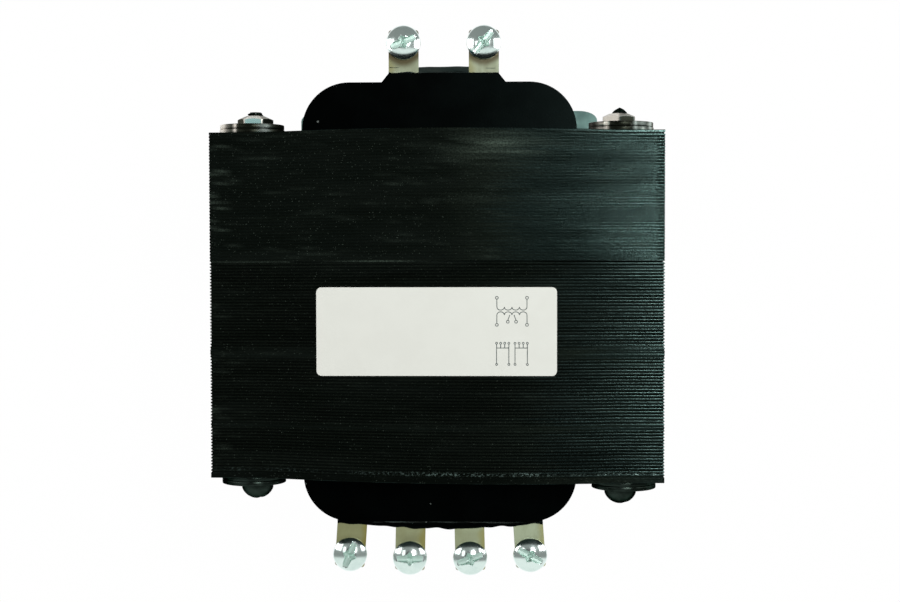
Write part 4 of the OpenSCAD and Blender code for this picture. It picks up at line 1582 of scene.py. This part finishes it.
@dataclass
class CarriedNodes:
    """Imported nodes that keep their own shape: each has a finish, a slot and maybe rounded edges."""

    bevel: float = 0.25 * MM
    nodes: tuple[tuple[str, str, str, bool], ...] = (
        ("bobbin", "bobbin", "bobbin", True),
        ("front_foot", "foot", "feet", True),
        ("rear_foot", "foot", "feet", True),
        ("inner_winding", "winding", "winding", False),
        ("outer_winding", "winding", "winding", False),
        ("layer_insulation", "insulation", "insulation", False),
    )

    def build(self, look: dict[str, Material]) -> list[Piece]:
        """Put the materials on the nodes' objects, and round their edges a little where asked."""
        made = []
        for node, finish, slot, rounded in self.nodes:
            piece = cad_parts[node]
            piece.data.materials.clear()
            piece.data.materials.append(look[finish])
            if rounded:
                edge = piece.modifiers.new("edges", "BEVEL")
                edge.width, edge.segments, edge.limit_method = self.bevel, 2, "ANGLE"
            made.append(piece)
        return made


@dataclass
class Studio:
    """Pale floor, soft lamps with a dim ceiling, and the camera above the object.

    Each lamp has a name, a place, its two side lengths and its radiance.
    """

    camera_place: Triple = (19.2 * MM, 18.0 * MM, 576.2 * MM)
    camera_turn: Triple = (-2.059, 1.876, -0.103)
    lens: float = 63.4
    floor_size: float = 6.0
    floor_glow: float = 0.99
    floor_colour: Triple = (0.86, 0.86, 0.86)
    front_level: float = 0.85
    rear_level: float = 0.26
    front_edge: Pair = (-0.42, -0.24)
    ceiling_edge: Pair = (0.86, 0.95)
    sky_colour: Triple = (0.92, 1.0, 0.96)
    aim: Triple = (0.0, 0.0, 0.06)
    lamps: tuple[tuple[str, Triple, Pair, float], ...] = (
        ("right side box", (0.30, 0.08, 0.215), (0.20, 0.20), 3.4),
        ("left side box", (-0.30, 0.08, 0.215), (0.20, 0.20), 3.4),
        ("right upper box", (0.175, 0.12, 0.70), (0.06, 0.20), 52.0),
        ("left upper box", (-0.26, 0.06, 0.50), (0.10, 0.20), 1.5),
    )

    def camera(self) -> None:
        """Set up the camera."""
        data = bpy.data.cameras.new("camera")
        data.lens, data.sensor_width = self.lens, 36.0
        data.clip_start, data.clip_end = 0.01, 50.0
        camera = added("camera", data)
        camera.location = self.camera_place
        camera.rotation_euler = [radians(a) for a in self.camera_turn]
        bpy.context.scene.camera = camera

    def lamp(self, name: str, place: Triple, size: Pair, radiance: float) -> None:
        """Add a soft rectangular lamp that faces the object.

        Formula: the power is the wanted radiance times pi times the lamp's area.
        """
        data = bpy.data.lights.new(name, "AREA")
        data.shape, data.size, data.size_y = "RECTANGLE", *size
        data.energy = radiance * pi * size[0] * size[1]
        back = np.array(place) - self.aim
        back /= np.linalg.norm(back)
        side = np.cross([0.0, 1.0, 0.0], back)
        side /= np.linalg.norm(side)
        matrix = np.eye(4)
        matrix[:3] = np.column_stack([side, np.cross(back, side), back, place])
        added(name, data).matrix_world = Matrix(matrix.tolist())

    def world(self) -> None:
        """Set up a sky that is pale towards the front, dim behind and dark overhead."""
        world = bpy.data.worlds.new("studio")
        bpy.context.scene.world = world
        sheet = Sheet.of(world)
        direction = sheet.add("SeparateXYZ", {0: sheet.add("TexCoord").outputs["Generated"]}).outputs
        front = sheet.span(direction["Y"], self.front_edge, (self.front_level, self.rear_level))
        high = sheet.span(direction["Z"], self.ceiling_edge)
        level = sheet.math("ADD", front, sheet.product(high, -self.rear_level))
        sky = sheet.add("Background", {"Strength": level, "Color": (*self.sky_colour, 1.0)})
        sheet.add("OutputWorld", {"Surface": sky.outputs[0]})

    def floor(self) -> None:
        """Add the floor, nearly white to the camera and in reflections, which keeps a soft shadow."""
        made = bpy.data.materials.new("pale floor")
        sheet = Sheet.of(made)
        path = sheet.add("LightPath").outputs
        seen = sheet.math("MAXIMUM", path["Is Camera Ray"], path["Is Glossy Ray"])
        seen = sheet.math("MAXIMUM", seen, path["Is Transmission Ray"])
        matt = sheet.add("BsdfDiffuse", {"Color": (*self.floor_colour, 1.0)})
        glow = sheet.add("Emission", {"Color": (1.0, 1.0, 1.0, 1.0), "Strength": 1.0})
        share = sheet.product(seen, self.floor_glow)
        both = sheet.add("MixShader", {0: share, 1: matt.outputs[0], 2: glow.outputs[0]})
        sheet.add("OutputMaterial", {"Surface": both.outputs[0]})
        line = np.linspace(-self.floor_size / 2, self.floor_size / 2, 5)
        points = np.stack([*np.meshgrid(line, line), np.zeros((5, 5))], axis=-1).reshape(-1, 3)
        mesh = bpy.data.meshes.new("floor")
        mesh.from_pydata(points.tolist(), [], grid_quads(5, 5).tolist())
        mesh.materials.append(made)
        added("floor", mesh)

    def build(self) -> None:
        """Set up everything round the object."""
        self.camera()
        self.world()
        self.floor()
        for lamp in self.lamps:
            self.lamp(*lamp)
        bpy.context.scene.view_settings.view_transform = "Standard"


def main() -> None:
    """Build every sub-assembly in order and report its pieces."""
    logging.basicConfig(level=logging.INFO, format="%(name)s: %(message)s")
    effects, finishes = SharedEffects(), Finishes()
    look = {part.name: getattr(finishes, part.name).material(effects) for part in fields(Finishes)}
    made = [
        *LaminatedCore().build(look["core"]),
        *Coil().build(look["wrap"]),
        *TerminalTapes().build(look["tape"], look["bobbin"]),
        *Terminals().build(look["tab"], look["screw"]),
        *ClampHardware().build(look["painted"], look["plated"]),
        *RatingLabel().build(look["label"], look["ink"]),
        *CarriedNodes().build(look),
    ]
    for piece in made:
        LOG.info("%s: %d faces", piece.name, len(piece.data.polygons))
    Studio().build()


if __name__ == "__main__":
    main()
